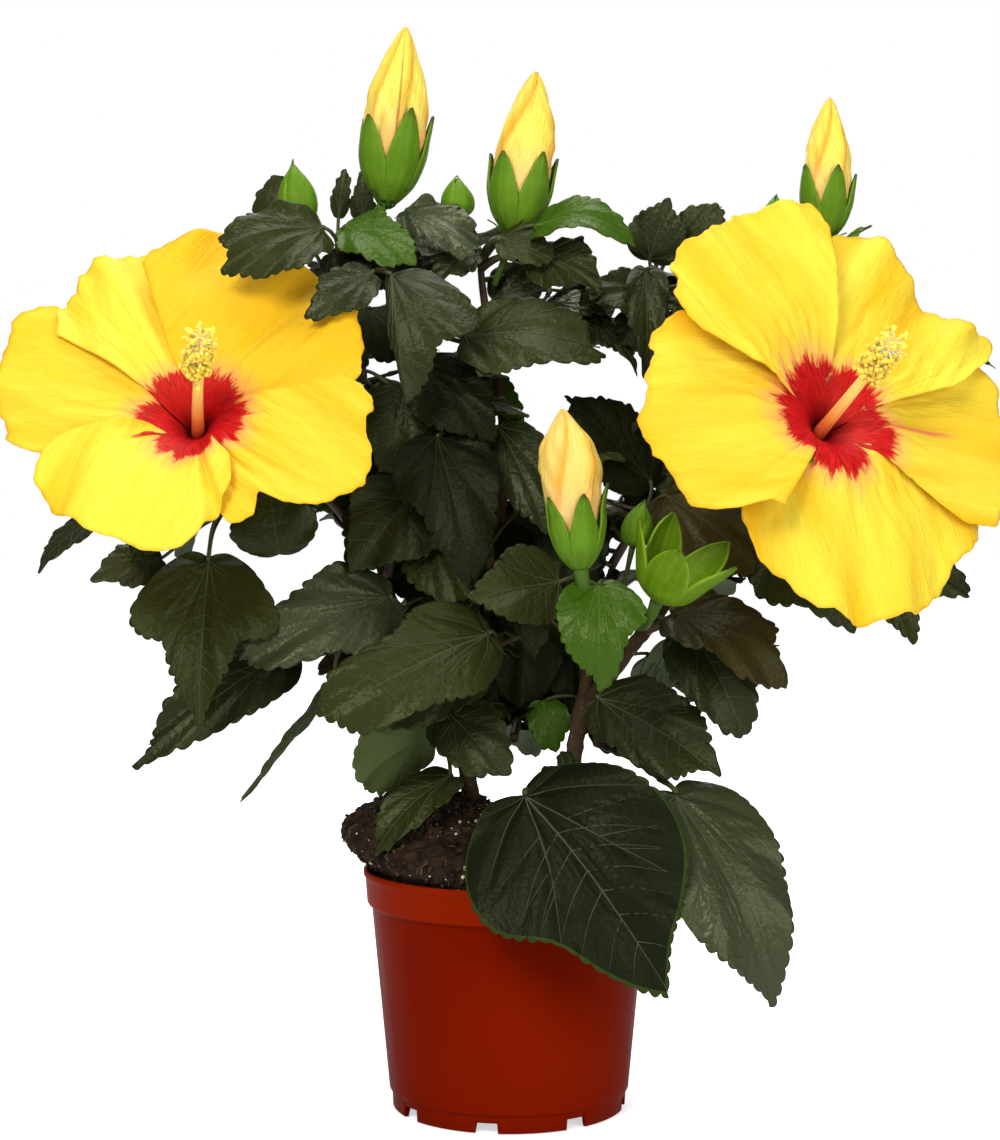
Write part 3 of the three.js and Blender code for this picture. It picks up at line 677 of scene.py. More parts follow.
class Cover:
    """What the named leaves and blooms hide from the front, so that grown leaves stay behind it."""

    CELL = 3.0  # mm

    def __init__(self):
        self.depths = {}
        self.gaps = set()

    def flat(self, places):
        places = np.asarray(places).reshape(-1, 3)
        share = -EYE[1] / (places[:, 1] - EYE[1])
        seen = EYE + (places - EYE) * share[:, None]
        return np.floor(seen[:, [0, 2]] / self.CELL).astype(int)

    def add(self, places):
        """Marks what a surface covers, with the depth of its nearest place in each cell."""
        places = np.asarray(places).reshape(-1, 3)
        for (x, z), depth in zip(self.flat(places), places[:, 1]):
            for cell in ((x, z), (x + 1, z), (x, z + 1), (x + 1, z + 1)):
                self.depths[cell] = min(depth, self.depths.get(cell, depth))

    def close(self, cells):
        """Marks cells as covered from the front of the crown on, where nothing covers them yet."""
        for cell in cells:
            self.depths.setdefault(cell, CROWN_FRONT)

    def ellipse(self, x, z, wide, high):
        """The cells of an ellipse in the picture plane, in mm."""
        for i in range(int((x - wide) // self.CELL), int((x + wide) // self.CELL) + 1):
            for k in range(int((z - high) // self.CELL), int((z + high) // self.CELL) + 1):
                across, up = (i + 0.5) * self.CELL - x, (k + 0.5) * self.CELL - z
                if (across / wide) ** 2 + (up / high) ** 2 < 1:
                    yield i, k

    def hides(self, places):
        """The share of the places that something in front hides, or none where the crown has a gap."""
        places = np.asarray(places).reshape(-1, 3)
        cells = [tuple(cell) for cell in self.flat(places)]
        if not self.gaps.isdisjoint(cells) or places[:, 1].min() < CROWN_FRONT:
            return 0.0
        covers = np.array([self.depths.get(cell, math.inf) for cell in cells])
        return np.mean(places[:, 1] > covers)


# gaps the sky shows through: middle and half-sizes across and up, in mm in the picture plane
OPEN = [(-12, 338, 15, 10), (-52.5, 321.5, 6, 7), (28, 296, 22, 14), (58, 190, 14, 12)]

# parts of the crown that no sky shows through, given in the same way
CLOSED = [(-30, 246, 27, 52), (5, 250, 18, 26), (17, 165, 20, 28), (62, 236, 40, 22), (-75, 208, 35, 13),
          (-28, 165, 25, 28), (46, 278, 17, 19), (-44, 345, 28, 14), (20, 345, 22, 10)]


def small_blade(spec, seed):
    """A blade of few rings, for leaves at the back and inside."""
    return Blade({"pitch": 7.5, "plain": True, **spec}, seed)


# what share of the grown leaves is of each kind
GROWN_KINDS = {DARK: 0.4, SHADED: 0.16, OLIVE: 0.22, GREY_SHEEN: 0.1, BRONZE: 0.06, BRIGHT: 0.06}
HIDDEN_SHARE = 0.93  # a grown leaf that shows more than the rest of itself is left out


def grown_leaves(route, rng, cover, spec):
    """Leaves of side shoots that a seeded rule grows from a twig, kept out of the sky in the crown."""
    kept, shoots = [], []
    route = spline(route, 40)
    turn = rng.uniform(0, 360)
    for i in range(spec["shoots"]):
        start = route[int(39 * (0.15 + 0.85 * (i + 0.5) / spec["shoots"]))]
        angle = math.radians(turn + GOLDEN_ANGLE * i)
        out = unit((math.cos(angle), math.sin(angle) + 0.9, 0.15))
        long = rng.uniform(*spec.get("long", (22, 40)))
        tip = start + out * long + (0, 0, long * rng.uniform(0.1, 0.45))
        shoot = spline([start, start + out * long * 0.5 + (0, 0, long * 0.05), tip], 12)
        last, borne = 0, []
        for k in range(spec["leaves"]):
            step = min(11, 4 + int(7.5 * k / spec["leaves"]))
            at = shoot[step]
            around = math.radians(turn * 2 + GOLDEN_ANGLE * (i * 5 + k))
            away = unit(np.array([math.cos(around), math.sin(around), rng.uniform(-0.35, 0.2)]) + out * 0.8)
            size = rng.uniform(*spec["size"])
            foot = at + away * size * 0.35 + (0, 0, size * 0.1)
            end = foot + away * size - (0, 0, size * rng.uniform(0.1, 0.5))
            kind = int(rng.choice(list(GROWN_KINDS), p=list(GROWN_KINDS.values())))
            front = -0.8 if foot[1] < 26 else 0.8
            each = leaf(foot, end, size * rng.uniform(0.68, 0.88), (away[0] * 0.5, front, 0.7), kind,
                        arch=rng.uniform(0.05, 0.18), fold=rng.uniform(0.08, 0.26))
            blade = small_blade(each, int(rng.integers(1 << 30)))
            if cover.hides(blade.rings) >= HIDDEN_SHARE:
                borne.append(blade)
                last = step
        if borne:
            shoots.append(shoot[: last + 1])
            kept += [(blade, shoots[-1]) for blade in borne]
    return kept, shoots


MASSES = {
    "foliage_front": {
        "twig": [(20, -4, 128), (12, -26, 132), (7, -44, 136)],
        "leaves": [
            leaf((6, -52, 136), (63, -86, 63), 80, FRONT, SHADED, arch=0.14, fold=0.12, lobes=0.02,
                 rimmed=True, puff=0.016, ripple=0.03, teeth=0.24, cup=0.10, blunt=0.16, pitch=5.4),
        ],
        "grow": {"shoots": 2, "leaves": 2, "size": (20, 30), "long": (12, 20)},
    },
    "foliage_front_right": {
        "twig": [(36, -2, 150), (50, -22, 146), (62, -36, 138)],
        "leaves": [
            leaf((66, -44, 135), (103, -72, 58), 56, (0.2, -1, 0.7), GREY_SHEEN, arch=0.14, fold=0.14, puff=0.014,
                 teeth=0.24, blunt=0.35, ripple=0.025, pitch=5.4),
        ],
    },
    "foliage_middle": {
        "twig": [(44, -10, 192), (42, -26, 198), (40, -44, 206)],
        "leaves": [
            leaf((34, -70, 219), (33.5, -80, 179), 33, FRONT, BRIGHT, arch=0.2, fold=0.1, puff=0.035,
                 teeth=0.3, blunt=0.15, pitch=4.2),
        ],
        "buds": [((48, -48, 232), (53, -48, 250), 6)],
    },
    "foliage_lower_right": {
        "twig": [(37, 6, 158), (37, 8, 166), (36, 12, 178)],
        "leaves": [
            leaf((36, -12, 170), (82, -40, 144), 36, FRONT, DARK, fold=0.22, droop=0.3, blunt=1.0),
            leaf((36, 14, 158), (62, 16, 144), 22, FRONT, OLIVE),
            leaf((14, 6, 166), (20, 2, 144), 18, FRONT, BRIGHT, puff=0.03),
            leaf((27, 16, 190), (33, 10, 152), 26, FRONT, SHADED),
            leaf((6, 14, 204), (9, 8, 158), 30, FRONT, SHADED),
            leaf((58, 12, 186), (86, 36, 168), 30, BACKWARD, OLIVE),
        ],
        "grow": {"shoots": 3, "leaves": 3, "size": (20, 32)},
    },
    "foliage_right_low": {
        "twig": [(56, -12, 197), (63, -17, 200), (70, -20, 202)],
        "leaves": [
            leaf((66, -26, 207), (110, -44, 182), 36, (0.1, -0.8, 0.8), BRONZE, arch=0.16, ripple=0.07,
                 droop=0.5, blunt=0.8),
            leaf((73, -16, 200), (94, -30, 158), 36, FRONT, DARK, fold=0.2, blunt=0.9),
        ],
        "grow": {"shoots": 2, "leaves": 3, "size": (20, 30)},
    },
    "foliage_left": {
        "twig": [(-59, 4, 219), (-66, 0, 240), (-80, -6, 254), (-100, -12, 253), (-128, -16, 238)],
        "leaves": [
            leaf((-120, -30, 226), (-122, -50, 162), 45, FRONT, OLIVE, arch=0.1, fold=0.22, puff=0.018,
                 lobes=0.3, blunt=0.1),
            leaf((-92, -28, 229), (-96, -24, 254), 34, FRONT, DARK),
            leaf((-166, -8, 244), (-190, -18, 224), 22, LEFTWARD, DARK),
            leaf((-142, -8, 226), (-168, -20, 219), 20, FRONT, GREY_SHEEN),
        ],
        "grow": {"shoots": 6, "leaves": 3, "size": (24, 38)},
    },
    "foliage_mid_left": {
        "twig": [(-4, 4, 186), (-5, -12, 190), (-6, -28, 196)],
        "leaves": [
            leaf((-8, -36, 198), (-74, -64, 166), 40, (0, -1, 0.4), OLIVE, arch=0.1, fold=0.14, puff=0.02,
                 blunt=0.7, lobes=0.08),
            leaf((-12, -14, 182), (-66, -24, 160), 30, FRONT, DARK),
        ],
        "grow": {"shoots": 3, "leaves": 3, "size": (22, 34)},
    },
    "foliage_lower_left": {
        "twig": [(-30, 0, 178), (-42, -4, 184), (-60, -8, 190), (-76, -8, 188)],
        "leaves": [
            leaf((-92, -10, 188), (-150, -36, 145), 32, FRONT, DARK, fold=0.22, blunt=0.0),
            leaf((-48, -22, 212), (-106, -46, 188), 38, (0, -1, 0.35), GREY_SHEEN, fold=0.2, lobes=0.12,
                 blunt=0.3),
            leaf((-72, -2, 172), (-109, -20, 127), 22, (-1, 0.3, 0.8), GREY_SHEEN, fold=0.3, arch=0.02, droop=0.0,
                 twist=0.0, ripple=0.02, blunt=0.0),
        ],
        "grow": {"shoots": 5, "leaves": 3, "size": (22, 36)},
    },
    "foliage_low": {
        "twig": [(-24, 1, 158), (-27, -8, 158), (-28, -14, 156)],
        "leaves": [
            leaf((-33, -12, 155), (-62, -28, 138), 36, (0.2, 0.9, 0.6), DARK, under=UNDER_PALE, fold=0.2,
                 blunt=1.0),
            leaf((-26, -20, 166), (-2, -38, 141), 30, FRONT, DARK, puff=0.02),
            leaf((-24, -24, 140), (-54, -40, 112), 24, UPWARD, OLIVE, fold=0.25),
        ],
        "grow": {"shoots": 3, "leaves": 3, "size": (18, 28)},
    },
    "foliage_centre": {
        "twig": [(-8, 6, 222), (-9, -6, 240), (-14, -8, 262), (-23, -2, 288)],
        "leaves": [
            leaf((-29, -20, 276), (-14, -46, 219), 42, FRONT, SHADED, puff=0.02, blunt=0.2),
            leaf((-36, -8, 304), (-5, -26, 276), 36, FRONT, SHADED),
            leaf((-8, 12, 246), (-2, 6, 198), 40, FRONT, SHADED),
            leaf((14, 14, 250), (6, 8, 202), 38, FRONT, DARK),
            leaf((-34, 12, 246), (-40, 6, 200), 36, FRONT, SHADED),
            leaf((0, 16, 214), (-8, 12, 166), 38, FRONT, DARK),
            leaf((26, 18, 226), (18, 14, 180), 34, FRONT, SHADED),
            leaf((-24, 16, 206), (-32, 10, 166), 34, FRONT, DARK),
            leaf((-14, 14, 300), (6, 6, 282), 18, FRONT, BRIGHT),
            leaf((-4, -6, 280), (15, -30, 238), 28, FRONT, DARK, lobes=0.08),
            leaf((-32, -12, 238), (-22, -34, 205), 30, FRONT, OLIVE, fold=0.25),
            leaf((-36, -14, 256), (-62, -30, 222), 38, FRONT, DARK, lobes=0.1),
            leaf((-20, 2, 290), (8, -8, 285), 14, UPWARD, GREY_SHEEN),
        ],
        "grow": {"shoots": 5, "leaves": 3, "size": (22, 34)},
    },
    "foliage_centre_left": {
        "twig": [(-50, 1, 218), (-47, -1, 232), (-44, 0, 246), (-46, 6, 284)],
        "leaves": [
            leaf((-44, 0, 250), (-66, -16, 216), 34, FRONT, DARK),
            leaf((-42, -4, 296), (-50, -14, 258), 36, FRONT, DARK),
            leaf((-54, 6, 294), (-34, 2, 274), 20, FRONT, BRIGHT),
        ],
        "grow": {"shoots": 4, "leaves": 3, "size": (20, 34)},
    },
    "foliage_centre_right": {
        "twig": [(42, 4, 222), (50, -2, 236), (58, -4, 248)],
        "leaves": [
            leaf((20, -36, 218), (-16, -54, 212), 32, (0, -1, 0.3), OLIVE, puff=0.02, lobes=0.1),
            leaf((30, -2, 246), (23, -14, 212), 30, FRONT, SHADED),
            leaf((58, -4, 258), (22, -8, 292), 32, FRONT, SHADED),
            leaf((64, -10, 252), (100, -20, 224), 40, FRONT, BRONZE, ripple=0.06, lobes=0.1),
        ],
        "grow": {"shoots": 4, "leaves": 3, "size": (22, 34)},
    },
    "foliage_top_left": {
        "twig": [(-56, 7, 230), (-62, 8, 270), (-66, 6, 310), (-71, 0, 349)],
        "leaves": [
            leaf((-74, -26, 359), (-113, -44, 342), 34, (0.1, -1, 0.6), OLIVE, fold=0.14, puff=0.03,
                 arch=0.16, blunt=0.9, teeth=0.34, ripple=0.09),
            leaf((-88, 4, 376), (-106, 8, 363), 24, FRONT, OLIVE),
            leaf((-60, 6, 353), (-33, 2, 340), 26, FRONT, SHADED),
            leaf((-70, 4, 366), (-67, 2, 385), 8, FRONT, DARK),
            leaf((-60, 2, 364), (-60, -4, 382), 10, FRONT, DARK),
            leaf((-66, -12, 361), (-36, -26, 344), 25, (0.2, -1, 0.5), BRIGHT, fold=0.2, teeth=0.32,
                 pitch=4.4),
            leaf((-72, -10, 350), (-52, -22, 336), 20, FRONT, SHADED),
            leaf((-47, -28, 340), (-41, -46, 290), 46, (0, -1, 0.3), DARK, lobes=0.24, puff=0.018,
                 sides=(1.15, 0.14), blunt=0.5, ripple=0.05),
            leaf((-54, -36, 340), (-76, -52, 322), 20, (0, -1, 0.3), DARK, blunt=1.0),
            leaf((-58, 18, 330), (-40, 58, 306), 36, BACKWARD, DARK),
            leaf((-76, 22, 332), (-102, 48, 324), 32, BACKWARD, OLIVE),
        ],
        "buds": [((-85, 0, 362), (-88, 0, 388), 7.5)],
        "grow": {"shoots": 7, "leaves": 3, "size": (22, 36)},
    },
    "foliage_top_centre": {
        "twig": [(-5, 7, 305), (-8, 6, 318), (-11, 5, 338), (-12, 4, 352)],
        "leaves": [
            leaf((-42, -6, 368), (-13, -18, 350), 24, (-0.2, -1, 0.9), GREY_SHEEN, fold=0.2, puff=0.04,
                 teeth=0.34, ripple=0.09, blunt=0.9),
            leaf((-14, -2, 354), (-30, -14, 338), 17, FRONT, DARK, stalk=1.9),
            leaf((-3, -10, 356), (18, -18, 346), 18, FRONT, OLIVE, fold=0.25, stalk=1.9),
            leaf((10, -14, 361), (48, -24, 358), 25, (0.1, -0.7, 0.8), BRIGHT, fold=0.34, puff=0.02,
                 arch=0.2, blunt=0.9),
            leaf((12, -8, 350), (37, -24, 335), 25, FRONT, OLIVE, ripple=0.09, puff=0.04, stalk=1.7),
            leaf((-6, 8, 333), (17, 12, 345), 22, FRONT, DARK),
            leaf((22, 8, 336), (38, 2, 320), 18, FRONT, SHADED),
        ],
        "buds": [((-21, 0, 365), (-21, 0, 382), 6.6)],
        "grow": {"shoots": 5, "leaves": 3, "size": (20, 30)},
    },
    "foliage_upper_centre": {
        "twig": [(-8, 3, 311), (-13, -2, 313), (-17, -8, 316)],
        "leaves": [
            leaf((-18, -18, 317), (38, -33, 311), 37, (0, -1, 0.6), OLIVE, arch=0.1, fold=0.14, puff=0.014,
                 ripple=0.03, blunt=0.7, lobes=0.1),
            leaf((28, 8, 330), (54, 0, 303), 14, UPWARD, DARK),
        ],
        "grow": {"shoots": 4, "leaves": 3, "size": (20, 32)},
    },
    "foliage_top_right": {
        "twig": [(42, 9, 246), (54, 12, 252), (66, 18, 284), (68, 16, 318), (58, 10, 344)],
        "leaves": [
            leaf((58, 2, 336), (29, -8, 331), 22, (0, -1, 0.6), OLIVE, fold=0.25),
            leaf((58, 4, 328), (44, 0, 312), 17, FRONT, SHADED),
            leaf((56, -2, 344), (56, -10, 302), 18, FRONT, DARK, fold=0.3),
            leaf((58, 10, 349), (66, 6, 374), 25, FRONT, DARK),
            leaf((70, 12, 356), (88, 6, 371), 18, FRONT, OLIVE),
            leaf((64, 18, 362), (88, 24, 370), 14, UPWARD, OLIVE),
            leaf((70, 24, 330), (84, 66, 306), 38, BACKWARD, DARK),
        ],
        "grow": {"shoots": 7, "leaves": 3, "size": (22, 36)},
    },
    "foliage_right_top": {
        "twig": [(86, 7, 244), (98, 19, 270), (114, 24, 304), (123, 20, 334)],
        "leaves": [
            leaf((134, 12, 350), (149, 8, 364), 7, UPWARD, FRESH),
            leaf((150, 6, 318), (200, 2, 307), 30, UPWARD, DARK),
            leaf((126, 32, 320), (158, 66, 296), 40, BACKWARD, DARK),
            leaf((98, 36, 298), (96, 84, 272), 42, BACKWARD, OLIVE),
        ],
        "buds": [((108, 8, 361), (110, 8, 375), 4.6)],
        "grow": {"shoots": 7, "leaves": 3, "size": (24, 38)},
    },
    "foliage_right_under": {
        "twig": [(88, 6, 238), (104, 4, 232), (124, 4, 230), (142, 4, 228)],
        "leaves": [
            leaf((108, -6, 238), (140, -20, 199), 46, FRONT, DARK, fold=0.2, lobes=0.1),
            leaf((152, 0, 220), (166, -10, 192), 18, FRONT, OLIVE),
            leaf((158, 6, 226), (190, 0, 212), 22, FRONT, DARK),
            leaf((128, 20, 236), (150, 58, 214), 40, BACKWARD, DARK),
        ],
        "grow": {"shoots": 6, "leaves": 3, "size": (22, 36)},
    },
}

BACK_SHOOTS = {
    "foliage_back_left": {
        "shoot": [(-62, 12, 236), (-78, 28, 258), (-94, 38, 280), (-100, 44, 298)],
        "count": 9, "long": 54, "wide": 44, "turn": 60, "side": (-0.1, 1, 0),
    },
    "foliage_back_centre": {
        "shoot": [(-8, 18, 196), (-12, 32, 222), (-10, 44, 250), (-6, 50, 276)],
        "count": 9, "long": 52, "wide": 42, "turn": 20, "side": (0, 1, 0),
    },
    "foliage_back_right": {
        "shoot": [(78, 6, 212), (92, 24, 222), (108, 38, 236), (120, 48, 256)],
        "count": 9, "long": 52, "wide": 42, "turn": 100, "side": (0.2, 1, 0),
    },
    "foliage_back_low": {
        "shoot": [(2, 12, 150), (4, 30, 158), (2, 44, 170)],
        "count": 7, "long": 50, "wide": 40, "turn": 75, "side": (0, 1, 0),
    },
}


WHORL_KINDS = [DARK, OLIVE, DARK, SHADED, GREY_SHEEN, DARK, BRIGHT, DARK, OLIVE]


def whorl(spec, rng):
    """Leaves set round a shoot by the golden angle, pointing out and drooping."""
    shoot = spline(spec["shoot"], 41)
    leaves = []
    for i in range(spec["count"]):
        at = shoot[int(40 * (i + 0.5) / spec["count"])]
        angle = math.radians(spec["turn"] + GOLDEN_ANGLE * i)
        out = unit(np.array([math.cos(angle), math.sin(angle), 0]) + np.array(spec["side"]) * 1.1)
        size = 1 - 0.12 * math.sin(2.3 * i)
        start = at + out * 13 + (0, 0, 5)
        end = start + out * spec["long"] * size - (0, 0, 0.35 * spec["long"] * size)
        face = (out[0] * 0.6, out[1] * 0.6, 1)
        kind = WHORL_KINDS[i % len(WHORL_KINDS)]
        leaves.append(leaf(start, end, spec["wide"] * size, face, kind, fold=rng.uniform(0.08, 0.24)))
    return leaves


def twig_look():
    look = Look("twig", (0.1, 0.1, 0.04), 0.5, Specular_IOR_Level=0.35)
    age = look.maths("ADD", look.value("age"), look.times(look.noise(9), 0.3))
    age = look.spread(age, 0.1, 0.95)
    green = look.mix(look.spread(age, 0.0, 0.5), (0.05, 0.085, 0.012), (0.040, 0.018, 0.008))
    look.set("Base Color", look.mix(look.spread(age, 0.5, 1.0), green, (0.065, 0.038, 0.020)))
    ridges = look.noise(1.6, 3.0, stretch=(1, 1, 0.3))
    look.set("Normal", look.bump(ridges, 0.3))
    return look.material


# ---- wood ----

# each limb's route, its radius at the foot and at the tip, and how much its foot flares
WOOD = {
    "stem_left": ([(-14, 5, 118), (-17, 4, 134), (-19, 4, 152), (-21, 4, 169)], (3.6, 2.9), 1.6),
    "stem_right": ([(24, 3, 97), (25, 2, 118), (26, 2, 136), (28, 2, 152), (31, 2, 168)], (3.6, 3.4), 2.0),
    "bough_left": (
        [(-21, 4, 155), (-25, 4, 160), (-36, 3, 184), (-48, 5, 208), (-54, 6, 226)], (2.6, 2.2), 0,
    ),
    "bough_centre": (
        [(-19, 4.5, 158), (-17, 6.5, 163), (-12, 10, 190), (-5, 12, 230), (-2, 10, 270), (-4, 8, 300)],
        (2.7, 2.1), 0,
    ),
    "bough_middle": (
        [(30, 2.5, 166), (31.5, 3, 173), (32, 6, 196), (34, 8, 222), (38, 8, 240)], (2.7, 2.2), 0,
    ),
    "bough_right": (
        [(32, 2, 166), (35.5, 0, 170), (46, -4, 184), (61, -8, 204), (74, -4, 222), (84, 4, 240)],
        (3.3, 2.6), 0,
    ),
}


def wood_look():
    look = Look("bark", (0.2, 0.14, 0.09), 0.75, Specular_IOR_Level=0.15)
    blotch = look.noise(11, 4.0, stretch=(1, 1, 0.5))
    grain = look.noise(1.4, 4.0, stretch=(1, 1, 0.22))
    pores = look.spread(look.spots(4.2), 0.10, 0.2, 1, 0)
    age = look.value("age")
    old = look.mix(look.spread(blotch, 0.35, 0.65), (0.046, 0.024, 0.011), (0.085, 0.050, 0.025))
    young = look.mix(look.spread(blotch, 0.35, 0.65), (0.036, 0.019, 0.009), (0.058, 0.034, 0.016))
    colour = look.mix(look.spread(age, 0.2, 0.8), young, old)
    colour = look.mix(look.times(look.spread(grain, 0.5, 0.75), 0.55), colour, (0.03, 0.017, 0.010))
    look.set("Base Color", look.mix(look.times(pores, 0.6), colour, (0.20, 0.14, 0.085)))
    rough = look.bump(grain, 1.0)
    look.set("Normal", look.bump(pores, 0.35, under=rough))
    return look.material


def build_wood(rng):
    parts = Parts(("age",))
    for name, (route, radii, flare) in WOOD.items():
        places = spline(route, max(24, int(len(route) * 26)))
        share = np.linspace(0, 1, len(places))
        radius = radii[0] + (radii[1] - radii[0]) * share + flare * np.exp(-share * 9)
        nodes = 0.28 * np.exp(-(((share * 5.5 + rng.uniform(0, 1)) % 1 - 0.5) / 0.09) ** 2)
        seed = int(rng.integers(1 << 30))

        def relief(grid, seed=seed):
            own = np.random.default_rng(seed)
            flat = grid * (1, 1, 0.35)
            return 0.16 * waves(flat, 2.6, own, 9) + 0.12 * waves(grid, 7, own, 7)

        age = (1.0, 0.75) if name.startswith("stem") else (0.7, 0.1)
        tube(parts, places, radius + nodes, 22, relief=relief, age=age)
    return make("wood", parts, [wood_look()], tuple(WOOD))


# ---- blooms ----

PETAL, COLUMN, FILAMENT, ANTHER, STIGMA, SEPAL, STALK = range(7)
CLAW_TURN = 33.0  # degrees to each side that a petal fills deep in the throat
PETAL_ROWS = 50
PETAL_COLUMNS = 75
FILAMENTS = 170
LOBES = 5
BRACTS = 7
DISH_HEIGHT = 22.0
DISH_RADIUS = 10.0


class Bloom:
    """A bloom's own frame: its axis out of the throat, up and to the right of it."""

    def __init__(self, throat, face):
        self.throat = np.array(throat, float)
        self.axis = unit(face)
        self.up, _ = square_to(self.axis, (0.01, 0.02, 1))
        self.right = np.cross(self.up, self.axis)

    def place(self, turn, radius, high):
        """A place from an angle round the axis in degrees, a distance from it and a height up it."""
        turn = np.radians(turn)[..., None]
        radius, high = np.asarray(radius)[..., None], np.asarray(high)[..., None]
        out = np.cos(turn) * self.right + np.sin(turn) * self.up
        return self.throat + radius * out + high * self.axis

    def outward(self, turn):
        """The direction out from the axis at an angle round it."""
        return self.place(np.array(turn), np.array(1.0), np.array(0.0)) - self.throat


def dish(radius):
    """How far a petal stands up the axis from the throat, where it spreads from its claw."""
    return DISH_HEIGHT * (1 - np.exp(-radius / DISH_RADIUS))


def petal(parts, bloom, spec, number, rng):
    """One petal: a narrow claw in the throat that opens to a broad, ruffled blade.

    edge lists the blade's outline from side to side: angle round the axis, and distance from it.
    level lifts the whole blade up the axis in mm, and over tilts one side of it above the other.
    """
    v = np.linspace(0, 1, PETAL_ROWS)[:, None] ** 0.9
    u = np.linspace(-1, 1, PETAL_COLUMNS)[None, :]
    outline = spline([(turn * 1.2, reach) for turn, reach in spec["edge"]], PETAL_COLUMNS)
    outer, edge = outline[None, :, 0] / 1.2, outline[None, :, 1]
    opened = ease(v, 0.02, 0.34)
    turn = (spec["claw"] + u * CLAW_TURN) * (1 - opened) + outer * opened
    middle = outer.mean()
    uneven = 1
    for size, often in ((0.014, 11), (0.010, 26), (0.005, 61)):
        uneven = uneven + size * np.sin(u * often + rng.uniform(0, 6))
    edge = edge * uneven
    radius = 2.5 + (edge - 2.5) * v
    arc = np.radians(turn - middle) * radius
    phase = rng.uniform(0, 6.3, 6)
    ruffle = spec.get("ruffle", 3.0) * (1 - 0.75 * ease(np.abs(u), 0.45, 0.9))
    high = dish(radius)
    high = high - 0.0014 * np.clip(radius - 40, 0, None) ** 2
    high = high + (spec.get("level", 0.0) + spec.get("over", 3.0) * u) * ease(v, 0.2, 0.55)
    sway = 0.8 * np.sin(arc / 13 + phase[1])
    high = high + ruffle * ease(v, 0.45, 1.0) * np.sin(arc / 6.2 + phase[0] + 1.3 * v + sway)
    high = high + 0.30 * ruffle * ease(v, 0.72, 1.0) * np.sin(arc / 2.4 + phase[2] + 3 * v + sway)
    high = high + 0.12 * ruffle * ease(v, 0.88, 1.0) * np.sin(arc / 1.2 + phase[3])
    high = high + 2.4 * ease(v, 0.25, 0.7) * np.sin(arc / 19 + phase[4])
    high = high + ruffle * 0.4 * np.abs(u) ** 3 * ease(v, 0.3, 0.9) * np.sin(radius / 4.6 + phase[5])
    crease = 0.9 * ease(v, 0.12, 0.3) * (1 - ease(v, 0.55, 0.95))
    high = high - crease * (np.exp(-((u / 0.045) ** 2)) + 0.6 * np.exp(-(((np.abs(u) - 0.32) / 0.04) ** 2))
                            + 0.5 * np.exp(-(((np.abs(u) - 0.62) / 0.035) ** 2)))
    for at, depth, width in spec.get("folds", ()):
        high = high + depth * np.exp(-(((u - at) / width) ** 2)) * ease(v, 0.22, 0.6)
    for at, wide, reach in spec.get("curls", ()):
        near = ease(1 - np.abs(u - at) / wide, 0, 1) * ease(v, 0.7, 1)
        high = high + reach * near
        radius = radius - reach * 0.8 * near
    wander = 2.2 * np.sin(radius / 11 + phase[2]) + 1.3 * np.sin(radius / 5 + phase[3])
    furrows = np.sin(arc / 1.25 + wander) + 0.7 * np.sin(arc / 0.8 + 1.7 * wander + phase[4])
    high = high + spec.get("furrows", 0.16) * furrows * ease(v, 0.14, 0.32) * (1.15 - ease(v, 0.5, 1.0))
    grid = bloom.place(turn, radius, high)
    rim = np.maximum(ease(np.abs(u), 0.93, 1), ease(v, 0.965, 1))
    side = (turn - spec["claw"]) / 36
    streak = np.zeros_like(turn)
    if "streak" in spec:
        streak = np.exp(-(((turn - spec["streak"] - 0.06 * (radius - 30)) * radius / 60) ** 2))
        streak = streak * ease(radius, 22, 27) * (1 - ease(radius, 44, 60))
    sheet(parts, grid[:, ::-1], 0.5, PETAL, streak=streak[:, ::-1], reach=(radius * spec["eye"])[:, ::-1],
          side=side[:, ::-1], number=number, tint=spec["tint"], rim=(rim * spec.get("rim", 0.5))[:, ::-1],
          arc=arc[:, ::-1])


